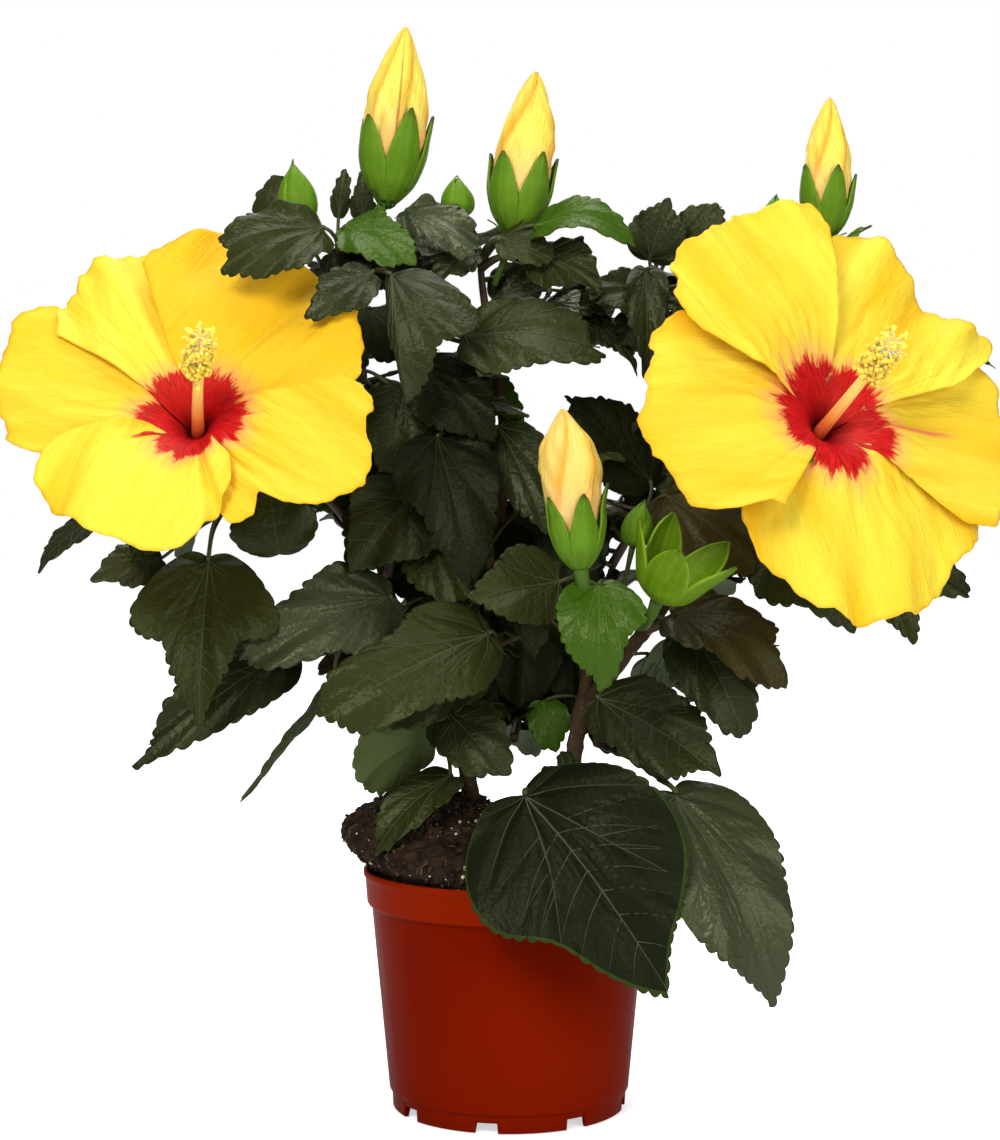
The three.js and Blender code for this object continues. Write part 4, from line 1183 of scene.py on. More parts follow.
def petal_look():
    look = Look("petal", (0.9, 0.7, 0.03), 0.5, Specular_IOR_Level=0.22, Specular_Tint=(1.0, 0.8, 0.35))
    reach, side, number, tint = (look.value(name) for name in ("reach", "side", "number", "tint"))
    arc = look.value("arc")
    polar = look.vector(side, look.times(reach, 0.012), number)
    flames = look.grain(polar, 3.2, 2.0)
    threads = look.grain(polar, 17.0, 3.0)
    flat = look.vector(arc, look.times(reach, 0.16), number)
    ribs = look.grain(flat, 0.75, 3.0)
    broad = look.grain(flat, 0.06, 2.0)
    # how far the red of the throat runs out along the petal, in mm
    flank = look.maths("POWER", look.maths("ABSOLUTE", side), 2.5)
    limit = look.maths("ADD", 26.0, look.spread(flames, 0.3, 0.7, -2.5, 3.5))
    limit = look.maths("SUBTRACT", limit, look.times(flank, 3.6))
    limit = look.maths("ADD", limit, look.spread(threads, 0.3, 0.7, -2.4, 2.4))
    inside = look.maths("SUBTRACT", limit, reach)
    red = look.spread(inside, -1.4, 1.8)
    halo = look.spread(inside, -11.0, 0.5)
    lemon = look.mix(tint, (0.89, 0.71, 0.060), (0.88, 0.44, 0.010))
    golden = look.mix(look.spread(broad, 0.38, 0.68), lemon, (0.88, 0.47, 0.012))
    golden = look.mix(look.times(look.spread(ribs, 0.45, 0.75), 0.22), golden, (0.86, 0.42, 0.008))
    golden = look.mix(look.times(look.value("rim"), 0.55), golden, (0.84, 0.32, 0.006))
    pink = look.mix(look.times(look.maths("POWER", halo, 1.4), 0.7), golden, (0.88, 0.28, 0.13))
    deep = look.mix(look.spread(threads, 0.35, 0.7), (0.36, 0.001, 0.004), (0.66, 0.003, 0.010))
    deep = look.mix(look.spread(reach, 3.0, 12.0), (0.10, 0.001, 0.003), deep)
    pink = look.mix(look.times(look.value("streak"), 0.85), pink, (0.78, 0.06, 0.10))
    look.set("Base Color", look.mix(red, pink, deep))
    look.set("Subsurface Weight", 0.3)
    look.set("Subsurface Scale", 0.003)
    look.set("Subsurface Radius", (1.0, 0.75, 0.2))
    crinkle = look.bump(ribs, 0.6)
    look.set("Normal", look.bump(look.noise(1.3, 2.0), 0.16, under=crinkle))
    return look.material


def column_look():
    look = Look("column", (0.9, 0.6, 0.1), 0.45)
    reach = look.value("reach")
    low = look.mix(look.spread(reach, 0.12, 0.32), (0.66, 0.008, 0.012), (0.90, 0.30, 0.05))
    look.set("Base Color", look.mix(look.spread(reach, 0.28, 0.56), low, (0.92, 0.68, 0.20)))
    return look.material


def sepal_look(name, green, vein, tip):
    """Ribbed green: veins run up it, its points are darker, and painted shade darkens its foot."""
    look = Look(name, green, 0.5, Specular_IOR_Level=0.2, Specular_Tint=(0.8, 0.9, 0.4))
    arc, reach = look.value("arc"), look.value("reach")
    bent = look.maths("ADD", look.times(arc, 1.7), look.spread(look.noise(4.0, 2.0), 0.3, 0.7, 0.0, 3.0))
    wave = look.maths("SINE", bent)
    veins = look.spread(wave, 0.86, 1.0)
    colour = look.mix(look.times(veins, 0.35), green, vein)
    # Painted shade: darker towards the foot of the cup.
    shade = look.spread(reach, 0.35, 0.0)
    colour = look.mix(look.times(shade, 0.45), colour, tip)
    mottle = look.noise(5.0, 3.0)
    colour = look.mix(look.times(look.spread(mottle, 0.4, 0.7), 0.35), colour, vein)
    colour = look.mix(look.times(look.value("rim"), 0.55), colour, vein)
    look.set("Base Color", look.mix(look.spread(reach, 0.88, 1.0), colour, tip))
    look.set("Normal", look.bump(wave, 0.05, under=look.bump(look.noise(1.6, 2.0), 0.22)))
    return look.material


def sepals(parts, frame_of, profile, rng, free, turn, slot=SEPAL, thick=0.7, blunt=0.7, fill=1.0, rows=22,
           columns=13, flare=0.0, rim=1.0):
    """A cup of lobes round a bloom's axis.

    profile gives (height, radius) from the base to the points, and free is the share of it below
    which the lobes are joined.
    """
    v = np.linspace(0, 1, rows)[:, None]
    u = np.linspace(-1, 1, columns)[None, :]
    curve = spline(profile, rows)
    wide = curve[:, 1:2]
    for i in range(LOBES):
        own = rng.uniform(-1, 1, 3)
        taper = np.where(v < free, 1.0, np.clip(1 - ((v - free) / (1 - free)), 0.02, 1) ** blunt)
        half = 180 / LOBES * fill * taper
        radius = wide * (1 + 0.10 * own[0] * v) + flare * (1 + own[1]) * ease(v, 0.6, 1)
        radius = radius + 0.06 * wide * (1 - u * u) + 0.022 * wide * np.exp(-((u / 0.1) ** 2))
        high = curve[:, :1] * (1 + 0.07 * own[2] * v)
        grid = frame_of.place(turn + 360 / LOBES * i + u * half, radius, high)
        edge = ease(np.abs(u), 0.8, 1) * rim
        sheet(parts, grid, thick, slot, reach=v, rim=edge, arc=np.radians(u * half) * wide)


def bracts(parts, frame_of, base, radius, rng, long=13.0, spread=7.0, slot=SEPAL):
    """The narrow bracts under a calyx."""
    t = np.linspace(0, 1, 9)[:, None]
    u = np.linspace(-1, 1, 4)[None, :]
    for i in range(BRACTS):
        turn = 360 / BRACTS * i + rng.uniform(-8, 8)
        size = long * rng.uniform(0.8, 1.15)
        half = np.degrees(1.15 * np.clip(1 - t, 0.05, 1) ** 0.6 / (radius + 2))
        out = radius * (0.3 + 0.9 * np.sqrt(t)) + spread * t**1.6 * rng.uniform(0.3, 0.9)
        high = base + size * np.sin(t * 1.35)
        grid = frame_of.place(turn + u * half, out, high)
        sheet(parts, grid, 0.5, slot, reach=0.2 + 0.8 * t, rim=0.3, arc=u)


# each petal's claw is its angle round the axis deep in the throat, and its edge is what petal() reads
BLOOMS = {
    "bloom_left": {
        "throat": (-121, -45, 273),
        "face": (-0.08, -0.82, 0.56),
        "stem": [(-66, 6, 300), (-84, 2, 276), (-104, -8, 262)],
        "column": (10, 8), "column_length": 55, "eye": 1.2,
        "petals": [
            {"claw": 127, "tint": 0.05,
             "edge": [(97, 76), (104, 82), (116, 88), (128, 84), (139, 76), (150, 66)]},
            {"claw": 55, "tint": 0.95, "ruffle": 2.8, "over": 4.0, "rim": 0.7,
             "folds": [(0.05, -4.0, 0.10), (-0.35, 2.0, 0.12)],
             "edge": [(4, 55), (11, 62), (27, 72), (42, 79), (60, 83), (80, 87), (94, 88), (106, 80),
                      (112, 72)]},
            {"claw": -17, "tint": 0.6, "ruffle": 3.0, "over": 4.5, "furrows": 0.2,
             "edge": [(-72, 40), (-66, 54), (-58, 56), (-50, 50), (-42, 66), (-33, 74), (-20, 75), (-6, 71),
                      (5, 70), (14, 58)]},
            {"claw": -89, "tint": 0.1, "ruffle": 2.4, "over": 0, "level": 5.5,
             "folds": [(0.58, -6.0, 0.06)],
             "edge": [(-162, 44), (-155, 57), (-142, 66), (-126, 66), (-108, 65), (-92, 67), (-80, 62),
                      (-69, 50), (-59, 40), (-50, 30)]},
            {"claw": -161, "tint": 0.45, "ruffle": 2.8, "over": 2, "level": 1.5, "rim": 0.9,
             "edge": [(-220, 80), (-213, 87), (-200, 84), (-188, 79), (-176, 74), (-164, 66), (-154, 56),
                      (-146, 44)]},
        ],
    },
    "bloom_right": {
        "throat": (118, -45, 273),
        "face": (0.38, -0.78, 0.5),
        "stem": [(92, 6, 262), (96, 0, 262), (100, -10, 258)],
        "column": (3, 7), "column_length": 60, "eye": 1.02,
        "petals": [
            {"claw": 110, "tint": 0.2, "ruffle": 3.0, "over": 0, "level": 7.5, "rim": 0.7, "furrows": 0.26,
             "edge": [(78, 84), (84, 96), (102, 91), (117, 89), (131, 86), (143, 79), (152, 64)]},
            {"claw": 40, "tint": 0.0, "ruffle": 3.4, "over": -3.2, "furrows": 0.24,
             "edge": [(13, 60), (18, 78), (23, 99), (31, 90), (42, 84), (55, 97), (64, 98), (76, 88),
                      (92, 70)]},
            {"claw": -34, "tint": 0.2, "ruffle": 2.2, "over": -5, "level": -5, "streak": -8,
             "edge": [(-46, 64), (-36, 76), (-15, 84), (0, 84), (14, 86), (27, 76), (36, 60)]},
            {"claw": -106, "tint": 0.2, "ruffle": 3.0, "over": 0, "level": -7, "furrows": 0.2,
             "edge": [(-150, 50), (-139, 64), (-126, 73), (-106, 83), (-92, 86), (-79, 83), (-64, 75),
                      (-52, 73), (-41, 74), (-30, 62)]},
            {"claw": 182, "tint": 0.35, "ruffle": 2.8, "over": 1.0, "rim": 1.0, "furrows": 0.22,
             "curls": [(0.8, 0.3, 4.0)],
             "edge": [(134, 60), (145, 74), (160, 79), (172, 82), (188, 84), (201, 86), (216, 74),
                      (228, 58)]},
        ],
    },
}


def build_bloom(name, spec, looks, rng, cover):
    parts = Parts(("reach", "side", "number", "tint", "rim", "arc", "streak"))
    frame_of = Bloom(spec["throat"], spec["face"])
    for number, each in enumerate(spec["petals"]):
        own = {"eye": spec["eye"], **each}
        petal(parts, frame_of, own, number * 7.3 + (0 if name == "bloom_left" else 50), rng)
    cover.add(np.concatenate(parts.places))
    heights = np.linspace(-2, spec["column_length"], 40)
    bent = (np.clip(heights, 0, None) / spec["column_length"])[:, None] ** 1.3
    over, up = spec["column"]
    aside = over * frame_of.right + up * frame_of.up
    core = frame_of.throat + heights[:, None] * frame_of.axis + bent * aside
    tube(parts, core, [3.2, 2.4, 2.1, 1.9, 1.7], 16, COLUMN, reach=np.linspace(0, 1, 12))
    turns = np.arange(FILAMENTS) * GOLDEN_ANGLE
    along = np.sort(rng.uniform(0.71, 0.985, FILAMENTS))
    anthers = []
    for turn, share in zip(turns, along):
        start = core[int(share * 39)]
        lean = rng.uniform(-0.1, 0.8)
        long = rng.uniform(3.4, 6.4)
        out = frame_of.outward(turn)
        end = start + out * long + frame_of.axis * long * lean
        middle = start + out * long * 0.45 + frame_of.axis * long * lean * 0.75
        tube(parts, spline([start, middle, end], 6), [0.3, 0.24], 5, FILAMENT)
        anthers.append(end)
    sizes = rng.uniform((1.0, 0.85, 0.75), (1.4, 1.15, 1.0), (FILAMENTS, 3))
    lumps(parts, anthers, sizes, rng, ANTHER, 0.16)
    tip = core[-1]
    for i in range(5):
        out = frame_of.outward(72.0 * i + 20)
        end = tip + out * 4.4 + frame_of.axis * 3.4
        route = spline([tip - frame_of.axis, tip + out * 1.4 + frame_of.axis * 2.4, end], 7)
        tube(parts, route, [0.6, 0.45], 7, COLUMN, reach=1.0)
        pads = end + rng.normal(0, 0.5, (7, 3))
        lumps(parts, pads, np.full((7, 3), 0.85), rng, STIGMA, 0.2)
    cup = [(-22, 3.4), (-19, 7.0), (-12, 8.0), (-3, 8.8), (5, 10.2), (11, 13), (15, 18), (17, 25), (17, 31)]
    sepals(parts, frame_of, cup, rng, 0.74, spec["petals"][0]["claw"] + 36)
    bracts(parts, frame_of, -21.5, 5.0, rng)
    foot = frame_of.place(np.array(0.0), np.array(0.0), np.array(-20.0))
    tube(parts, spline([*spec["stem"], foot], 30), [1.5, 1.5, 1.6, 1.9, 3.0], 12, STALK, arc=0.0)
    return make(name, parts, looks, (name,))


def bloom_materials():
    filament = Look("filament", (0.98, 0.94, 0.70), 0.5, Subsurface_Weight=0.4, Subsurface_Scale=0.002)
    anther = Look("anther", (0.93, 0.62, 0.05), 0.75)
    anther.set("Base Color", anther.mix(anther.noise(1.0), (0.92, 0.60, 0.02), (0.97, 0.84, 0.14)))
    anther.set("Normal", anther.bump(anther.noise(0.35), 0.3))
    stigma = Look("stigma", (0.97, 0.80, 0.10), 0.6)
    stigma.set("Normal", stigma.bump(stigma.noise(0.3), 0.3))
    calyx = sepal_look("calyx", (0.06, 0.15, 0.010), (0.13, 0.24, 0.02), (0.03, 0.07, 0.008))
    return [petal_look(), column_look(), filament.material, anther.material, stigma.material, calyx,
            stalk_look()]


def stalk_look():
    look = Look("flower_stalk", (0.10, 0.19, 0.025), 0.55, Specular_IOR_Level=0.12)
    look.set("Base Color", look.mix(look.noise(6.0), (0.035, 0.080, 0.010), (0.09, 0.17, 0.022)))
    look.set("Normal", look.bump(look.noise(1.2, stretch=(1, 1, 0.3)), 0.25))
    return look.material


# ---- buds and the spent calyx ----

BUD, BUD_SEPAL, BUD_STALK, BUD_BRACT = range(4)
BUD_VALUES = ("reach", "fold", "peach", "arc", "rim")
BUDS = {
    "bud_top_left": {
        "base": (-50, 0, 371), "tip": (-42, 0, 442), "radius": 13.4, "folds": 2.6, "turn": 200,
        "peach": 0.25, "stem": [(-66, 1, 352), (-58, 1, 361)],
    },
    "bud_top_centre": {
        "base": (2, 0, 358), "tip": (11, 0, 424), "radius": 13, "folds": 2.2, "turn": 60,
        "peach": 0.2, "stem": [(-6, 5, 338), (-2, 3, 348)],
    },
    "bud_top_right": {
        "base": (130, 10, 357), "tip": (132, 10, 415), "radius": 10.6, "folds": 1.6, "turn": 0,
        "peach": 0.15, "stem": [(124, 14, 338), (127, 12, 347)],
    },
    "bud_front": {
        "base": (27, -70, 224), "tip": (20, -72, 285), "radius": 13, "folds": 1.9, "turn": 120,
        "peach": 0.85, "stem": [(31, -6, 204), (31, -40, 204), (29, -64, 214)],
        "calyx": 0.84, "bracts": False,
        "outline": [(0, 0.2), (0.1, 0.44), (0.3, 0.72), (0.5, 0.93), (0.64, 1.0), (0.78, 0.82),
                    (0.88, 0.5), (0.96, 0.22), (1, 0.06)],
    },
}
# a bud's rolled petals, then the calyxes of a bud, a small bud and the spent flower: share of the
# length, and share of the radius
BUD_OUTLINE = [(0, 0.3), (0.08, 0.6), (0.25, 0.92), (0.48, 1.0), (0.66, 0.88), (0.82, 0.56), (0.94, 0.28),
               (1, 0.06)]
BUD_CUP = [(0, 0.24), (0.03, 0.44), (0.12, 0.76), (0.26, 0.97), (0.38, 0.98), (0.50, 0.9)]
SMALL_CUP = [(0, 0.35), (0.08, 0.75), (0.25, 1.0), (0.5, 0.96), (0.75, 0.60), (0.98, 0.05)]
SPENT_CUP = [(0, 0.20), (0.05, 0.44), (0.17, 0.72), (0.36, 0.92), (0.60, 1.12), (0.82, 1.28), (1.02, 1.40)]
BUD_WAIST = 0.93  # the rolled petals' share of a bud's radius, inside its calyx
BUD_TWIST = 75  # degrees that the rolled petals turn from the base to the tip
SPENT_CALYX = {
    "base": (57, -59, 212), "tip": (69, -68, 236), "radius": 14.5,
    "stem": [(50, -12, 198), (54, -34, 200), (55, -52, 205)],
}


def bud_look():
    look = Look("bud_petal", (0.9, 0.6, 0.03), 0.5, Specular_IOR_Level=0.3)
    reach, fold, peach = look.value("reach"), look.value("fold"), look.value("peach")
    base = look.mix(peach, (0.91, 0.76, 0.09), (0.91, 0.60, 0.16))
    shade = look.spread(look.noise(9.0, 3.0), 0.35, 0.7)
    base = look.mix(look.times(shade, 0.45), base, (0.90, 0.58, 0.03))
    base = look.mix(look.times(look.maths("POWER", fold, 4.0), 0.85), base, (0.84, 0.34, 0.008))
    foot = look.times(look.spread(reach, 0.58, 0.34), 0.5)
    look.set("Base Color", look.mix(foot, base, (0.84, 0.46, 0.24)))
    flat = look.vector(look.value("arc"), look.times(reach, 14.0))
    wrinkles = look.grain(flat, 0.8, 3.0)
    look.set("Normal", look.bump(wrinkles, 0.8))
    look.set("Subsurface Weight", 0.15)
    look.set("Subsurface Scale", 0.003)
    return look.material


def bud_share(spec, v):
    """A bud's radius up its length, as a share of the greatest."""
    profile = spline(spec.get("outline", BUD_OUTLINE), 80)
    return np.interp(v, profile[:, 0], profile[:, 1])


def bud_body(parts, frame_of, long, radius, spec, start):
    """The rolled petals of a closed bud, each folded over the next."""
    rows, sides = (44, 72) if long > 30 else (18, 30)
    v = np.linspace(start, 1, rows)[:, None]
    turn = np.linspace(0, 360, sides, endpoint=False)[None, :]
    share = bud_share(spec, v)
    twist = turn - BUD_TWIST * v
    phase = (twist / 72 + 0.35 * np.sin(np.radians(turn) + 1)) % 1
    folded = ease(phase, 0.0, 0.86) - ease(phase, 0.86, 1.0)
    out = radius * share + spec["folds"] * 0.8 * (folded - 0.7) * np.sqrt(share) * ease(v, 0.1, 0.4)
    out = out + 0.25 * np.sin(np.radians(turn) * 9 + v * 26) * share
    grid = frame_of.place(turn + spec["turn"], out, v * long)
    ends = frame_of.place(np.zeros(2), np.zeros(2), np.array([start, 1.0]) * long)
    tucked = ((folded - 0.35).clip(0, 1) * 1.55).ravel()
    arc = (np.radians(twist) * radius).ravel()
    parts.add(np.vstack([grid.reshape(-1, 3), ends]), grid_faces(rows, sides, closed=True), BUD,
              reach=np.append(np.repeat(v, sides), [start, 1.0]), fold=np.append(tucked, [0, 1]),
              peach=spec["peach"], arc=np.append(arc, [0, 0]))
    n = rows * sides
    begin = parts.count - n - 2
    ring = begin + np.arange(sides)
    parts.cap(begin + n, ring, BUD, turned=True)
    parts.cap(begin + n + 1, ring + n - sides, BUD)


def build_bud(name, spec, looks, rng, cover):
    parts = Parts(BUD_VALUES)
    base, tip = np.array(spec["base"], float), np.array(spec["tip"], float)
    long, r = np.linalg.norm(tip - base), spec["radius"]
    frame_of = Bloom(base, tip - base)
    bud_body(parts, frame_of, long, r * BUD_WAIST, spec, 0.04)
    cup = []
    for at, wide in BUD_CUP:
        clear = bud_share(spec, at) * BUD_WAIST * r + 0.9 * min(1, 5 * at)
        cup.append((at * long, max(wide * r * spec.get("calyx", 1.0), clear)))
    sepals(parts, frame_of, cup, rng, 0.44, spec["turn"] + 20, BUD_SEPAL, flare=0.4, blunt=0.66, rows=30,
           columns=17, fill=1.06)
    if spec.get("bracts", True):
        bracts(parts, frame_of, -2.5, 0.42 * r, rng, long=0.55 * r, spread=0.5 * r, slot=BUD_BRACT)
    cover.add(np.concatenate(parts.places))
    foot = base + (tip - base) * 0.02
    tube(parts, spline([*spec["stem"], foot], 24), [1.5, 1.45, 1.5, 1.8, 3.2], 12, BUD_STALK)
    return make(name, parts, looks, (name,))


def small_bud(parts, base, tip, radius, rng):
    """A young bud, still closed in its calyx."""
    base, tip = np.array(base, float), np.array(tip, float)
    long = np.linalg.norm(tip - base)
    frame_of = Bloom(base, tip - base)
    bud_body(parts, frame_of, long * 0.82, radius * 0.72, {"folds": 0.3, "turn": 0.0, "peach": 0.1}, 0.05)
    cup = [(at * long, wide * radius) for at, wide in SMALL_CUP]
    sepals(parts, frame_of, cup, rng, 0.6, rng.uniform(0, 72), BUD_SEPAL, thick=0.5, rows=14, columns=9,
           fill=1.25, blunt=0.5, rim=1.6)
    bracts(parts, frame_of, -0.5, 0.45 * radius, rng, long=0.35 * long, spread=0.6 * radius, slot=BUD_BRACT)


def build_spent_calyx(looks, rng, cover):
    parts = Parts(BUD_VALUES)
    base, tip = np.array(SPENT_CALYX["base"], float), np.array(SPENT_CALYX["tip"], float)
    long, r = np.linalg.norm(tip - base), SPENT_CALYX["radius"]
    frame_of = Bloom(base, tip - base)
    cup = [(at * long, wide * r) for at, wide in SPENT_CUP]
    sepals(parts, frame_of, cup, rng, 0.32, 62, BUD_SEPAL, thick=0.9, blunt=0.66, rows=34, columns=19,
           flare=0.6, fill=1.3, rim=1.8)
    bracts(parts, frame_of, -0.5, 0.28 * r, rng, long=0.34 * long, spread=0.35 * r, slot=BUD_BRACT)
    ovary = base + (tip - base) * 0.16 + rng.normal(0, 0.4, (3, 3))
    lumps(parts, ovary, np.full((3, 3), 4.6), rng, BUD_SEPAL, 0.1)
    cover.add(np.concatenate(parts.places))
    foot = base + (tip - base) * 0.03
    tube(parts, spline([*SPENT_CALYX["stem"], foot], 30), [1.4, 1.5, 1.5, 1.8, 3.0], 12, BUD_STALK)
    return make("spent_calyx_lobes", parts, looks, ("spent_calyx",))


# ---- pot and peat ----


def pot_look():
    look = Look("terracotta_plastic", (0.21, 0.011, 0.0006), 0.36, Specular_IOR_Level=0.02,
                Specular_Tint=(1.0, 0.4, 0.15))
    cloud = look.noise(60, 2.0)
    body = look.mix(look.spread(cloud, 0.35, 0.65), (0.165, 0.0062, 0.0002), (0.200, 0.0085, 0.0003))
    # Painted highlight: from the collar's foot up, the pot is painted a lighter red than the body, for the
    # light that falls on the collar.
    high = look.node("ShaderNodeSeparateXYZ", {0: look.place}).outputs["Z"]
    look.set("Base Color", look.mix(look.spread(high, 0.0838, 0.0848), body, (0.235, 0.0125, 0.0008)))
    scuffs = look.noise(3.5, 4.0, stretch=(1, 1, 0.25))
    look.set("Roughness", look.spread(scuffs, 0.35, 0.7, 0.32, 0.46))
    look.set("Normal", look.bump(look.noise(7, 2.0), 0.10))
    return look.material


def build_pot():
    """The pot turned from its profile, with notches let into its foot."""
    parts = Parts()
    collar_foot = POT_HEIGHT - COLLAR_HEIGHT
    inner = [(0, 0.0), (CENTRE_PAD_RADIUS - 0.6, 0.0), (CENTRE_PAD_RADIUS + 0.2, 0.5),
             (CENTRE_PAD_RADIUS + 1, FLOOR_UNDERSIDE), (FOOT_RADIUS - WALL - 0.8, FLOOR_UNDERSIDE)]
    foot = [(FOOT_RADIUS - WALL - 0.2, 0.2), (FOOT_RADIUS - WALL + 0.1, 0.0), (FOOT_RADIUS - 0.3, 0.0),
            (FOOT_RADIUS, 0.3)]
    outer = [(FOOT_RADIUS + 0.35, FOOT_HEIGHT - 0.5), (FOOT_RADIUS + 0.45, FOOT_HEIGHT),
             (BODY_RADIUS_LOW - 0.3, FOOT_HEIGHT + 0.3), (BODY_RADIUS_LOW, FOOT_HEIGHT + 0.9)]
    body = [(BODY_RADIUS_LOW + (BODY_RADIUS_TOP - BODY_RADIUS_LOW) * t,
             FOOT_HEIGHT + 0.9 + (collar_foot - 2.4 - FOOT_HEIGHT) * t)
            for t in np.linspace(0.04, 1, 20)]
    lip = POT_HEIGHT
    collar = [(BODY_RADIUS_TOP + 0.2, collar_foot - 0.7), (BODY_RADIUS_TOP + 1.5, collar_foot - 0.3),
              (BODY_RADIUS_TOP + 1.9, collar_foot + 0.3), (BODY_RADIUS_TOP + 2.0, collar_foot + 1.2),
              (RIM_RADIUS - 0.9, lip - 6), (RIM_RADIUS - 0.8, lip - 3.4), (RIM_RADIUS - 0.6, lip - 3.1),
              (RIM_RADIUS - 0.1, lip - 2.7), (RIM_RADIUS, lip - 2.2), (RIM_RADIUS, lip - 0.6),
              (RIM_RADIUS - 0.4, lip - 0.1), (RIM_RADIUS - 0.9, lip), (RIM_RADIUS - 1.3, lip - 0.15),
              (RIM_RADIUS - WALL - 0.1, lip - 0.8)]
    inside = [(BODY_RADIUS_TOP - WALL + 0.2, collar_foot), (FOOT_RADIUS - WALL, FLOOR_TOP + 0.5),
              (FOOT_RADIUS - WALL - 1, FLOOR_TOP), (0, FLOOR_TOP)]
    profile = np.array(inner + foot + outer + body + collar + inside)
    half = math.degrees(NOTCH_WIDTH / 2 / FOOT_RADIUS)
    pitch = 360 / NOTCH_COUNT
    notch = np.linspace(-half + 0.25, half - 0.25, 5)
    steps = np.concatenate([notch, np.linspace(half + 0.25, pitch - half - 0.25, 19)])
    first_turn = math.degrees(NOTCH_TURN)
    turns = np.concatenate([steps + pitch * (i + 0.5) + first_turn for i in range(NOTCH_COUNT)])
    notched = np.tile(np.arange(len(steps)) < len(notch), NOTCH_COUNT)
    first, last = len(inner), len(inner) + len(foot)
    turn = np.radians(turns)[None, :]
    radius = np.repeat(profile[:, :1], len(turns), 1)
    high = np.repeat(profile[:, 1:], len(turns), 1)
    high[first:last, notched] += NOTCH_HEIGHT
    grid = np.stack([radius * np.cos(turn), radius * np.sin(turn), high], -1)
    rows = grid[1:-1]
    columns = len(turns)
    ends = np.array([grid[0, 0], grid[-1, 0]])
    m = rows.shape[0] * columns
    parts.add(np.vstack([rows.reshape(-1, 3), ends]), grid_faces(rows.shape[0], columns, closed=True), 0)
    ring = np.arange(columns)
    parts.cap(m, ring, turned=True)
    parts.cap(m + 1, ring + m - columns)
    return make("pot_shell", parts, [pot_look()], ("pot",))


PEAT, PERLITE, FIBRE, CRUMB = range(4)
PEAT_ROWS = 62
PEAT_COLUMNS = 172
CRUMBS = 1700
PERLITE_BITS = 420
FIBRES = 380


def soil_place(turn, ring, rings):
    """A place on the root ball's surface at an angle and a share of the way up its rings."""
    lean = ((1 - np.cos(turn)) / 2) ** 2.5
    right, low, left, high = (np.interp(ring, np.linspace(0, 1, len(rings)), rings[:, k]) for k in range(4))
    uneven = 1.3 * np.sin(3 * turn + 4 + 5 * ring) * ease(ring, 0.25, 0.5) * ease(1 - ring, 0, 0.3)
    radius = right + (left - right) * lean
    return np.stack([radius * np.cos(turn), radius * np.sin(turn), low + (high - low) * lean + uneven], -1)


def build_soil(rng):
    parts = Parts(("damp",))
    rings = spline(SOIL_RINGS, 80)
    ring = np.linspace(0, 0.992, PEAT_ROWS)[:, None]
    turn = np.linspace(0, 2 * np.pi, PEAT_COLUMNS, endpoint=False)[None, :]
    turn, ring = np.broadcast_arrays(turn, ring)
    grid = soil_place(turn, ring, rings)
    out = np.cross(np.roll(grid, -1, 1) - np.roll(grid, 1, 1), np.gradient(grid, axis=0))
    out /= np.linalg.norm(out, axis=-1, keepdims=True)
    free = ease(ring, 0.16, 0.3)
    relief = sum(depth * waves(grid.reshape(-1, 3), size, rng, 12).reshape(ring.shape)
                 for size, depth in ((16, 1.0), (7, 0.85), (3.2, 0.6), (1.8, 0.35)))
    surface = grid + out * (relief * (0.15 + 0.85 * free))[..., None]
    top = surface[-1].mean(0)
    bottom = np.array([0, 0, surface[0, :, 2].mean()])
    count = surface.shape[0] * surface.shape[1]
    parts.add(np.vstack([surface.reshape(-1, 3), bottom, top]), grid_faces(*surface.shape[:2], closed=True),
              PEAT)
    first = np.arange(PEAT_COLUMNS)
    parts.cap(count, first, PEAT, turned=True)
    parts.cap(count + 1, first + count - PEAT_COLUMNS, PEAT)

    def spots(number):
        """Places scattered over the part of the surface that shows, with the way out of it."""
        low, high = 0.1, 0.99
        share = low + (high - low) * rng.uniform(0, 1, number) ** 0.8
        rows = (PEAT_ROWS * share).astype(int)
        columns = rng.integers(0, PEAT_COLUMNS, number)
        return surface[rows, columns], out[rows, columns]

    where, away = spots(CRUMBS)
    size = rng.uniform(0.4, 1.45, (CRUMBS, 1)) * rng.uniform(0.6, 1.2, (CRUMBS, 3))
    lumps(parts, where + away * size[:, :1] * 0.35, size, rng, CRUMB, 0.3, damp=rng.uniform(0, 1, CRUMBS))
    where, away = spots(PERLITE_BITS)
    grown = rng.uniform(0, 1, (PERLITE_BITS, 1)) ** 3
    size = 0.22 + 0.85 * grown * rng.uniform(0.75, 1.1, (PERLITE_BITS, 3))
    lumps(parts, where + away * size[:, :1] * 0.45, size, rng, PERLITE, 0.25)
    where, away = spots(FIBRES)
    for place, way in zip(where, away):
        run = unit(np.cross(way, rng.normal(size=3))) * rng.uniform(2.5, 7)
        lift = way * rng.uniform(0.3, 1.8)
        bend = np.cross(way, run) * rng.uniform(-0.4, 0.4)
        end = place + run * 0.5 + lift * rng.uniform(-0.6, 1)
        route = spline([place - run * 0.5, place + lift + bend, end], 5)
        tube(parts, route, [0.28, 0.12], 3, FIBRE, damp=rng.uniform(0, 1))
    return make("peat", parts, soil_materials(), ("soil",))


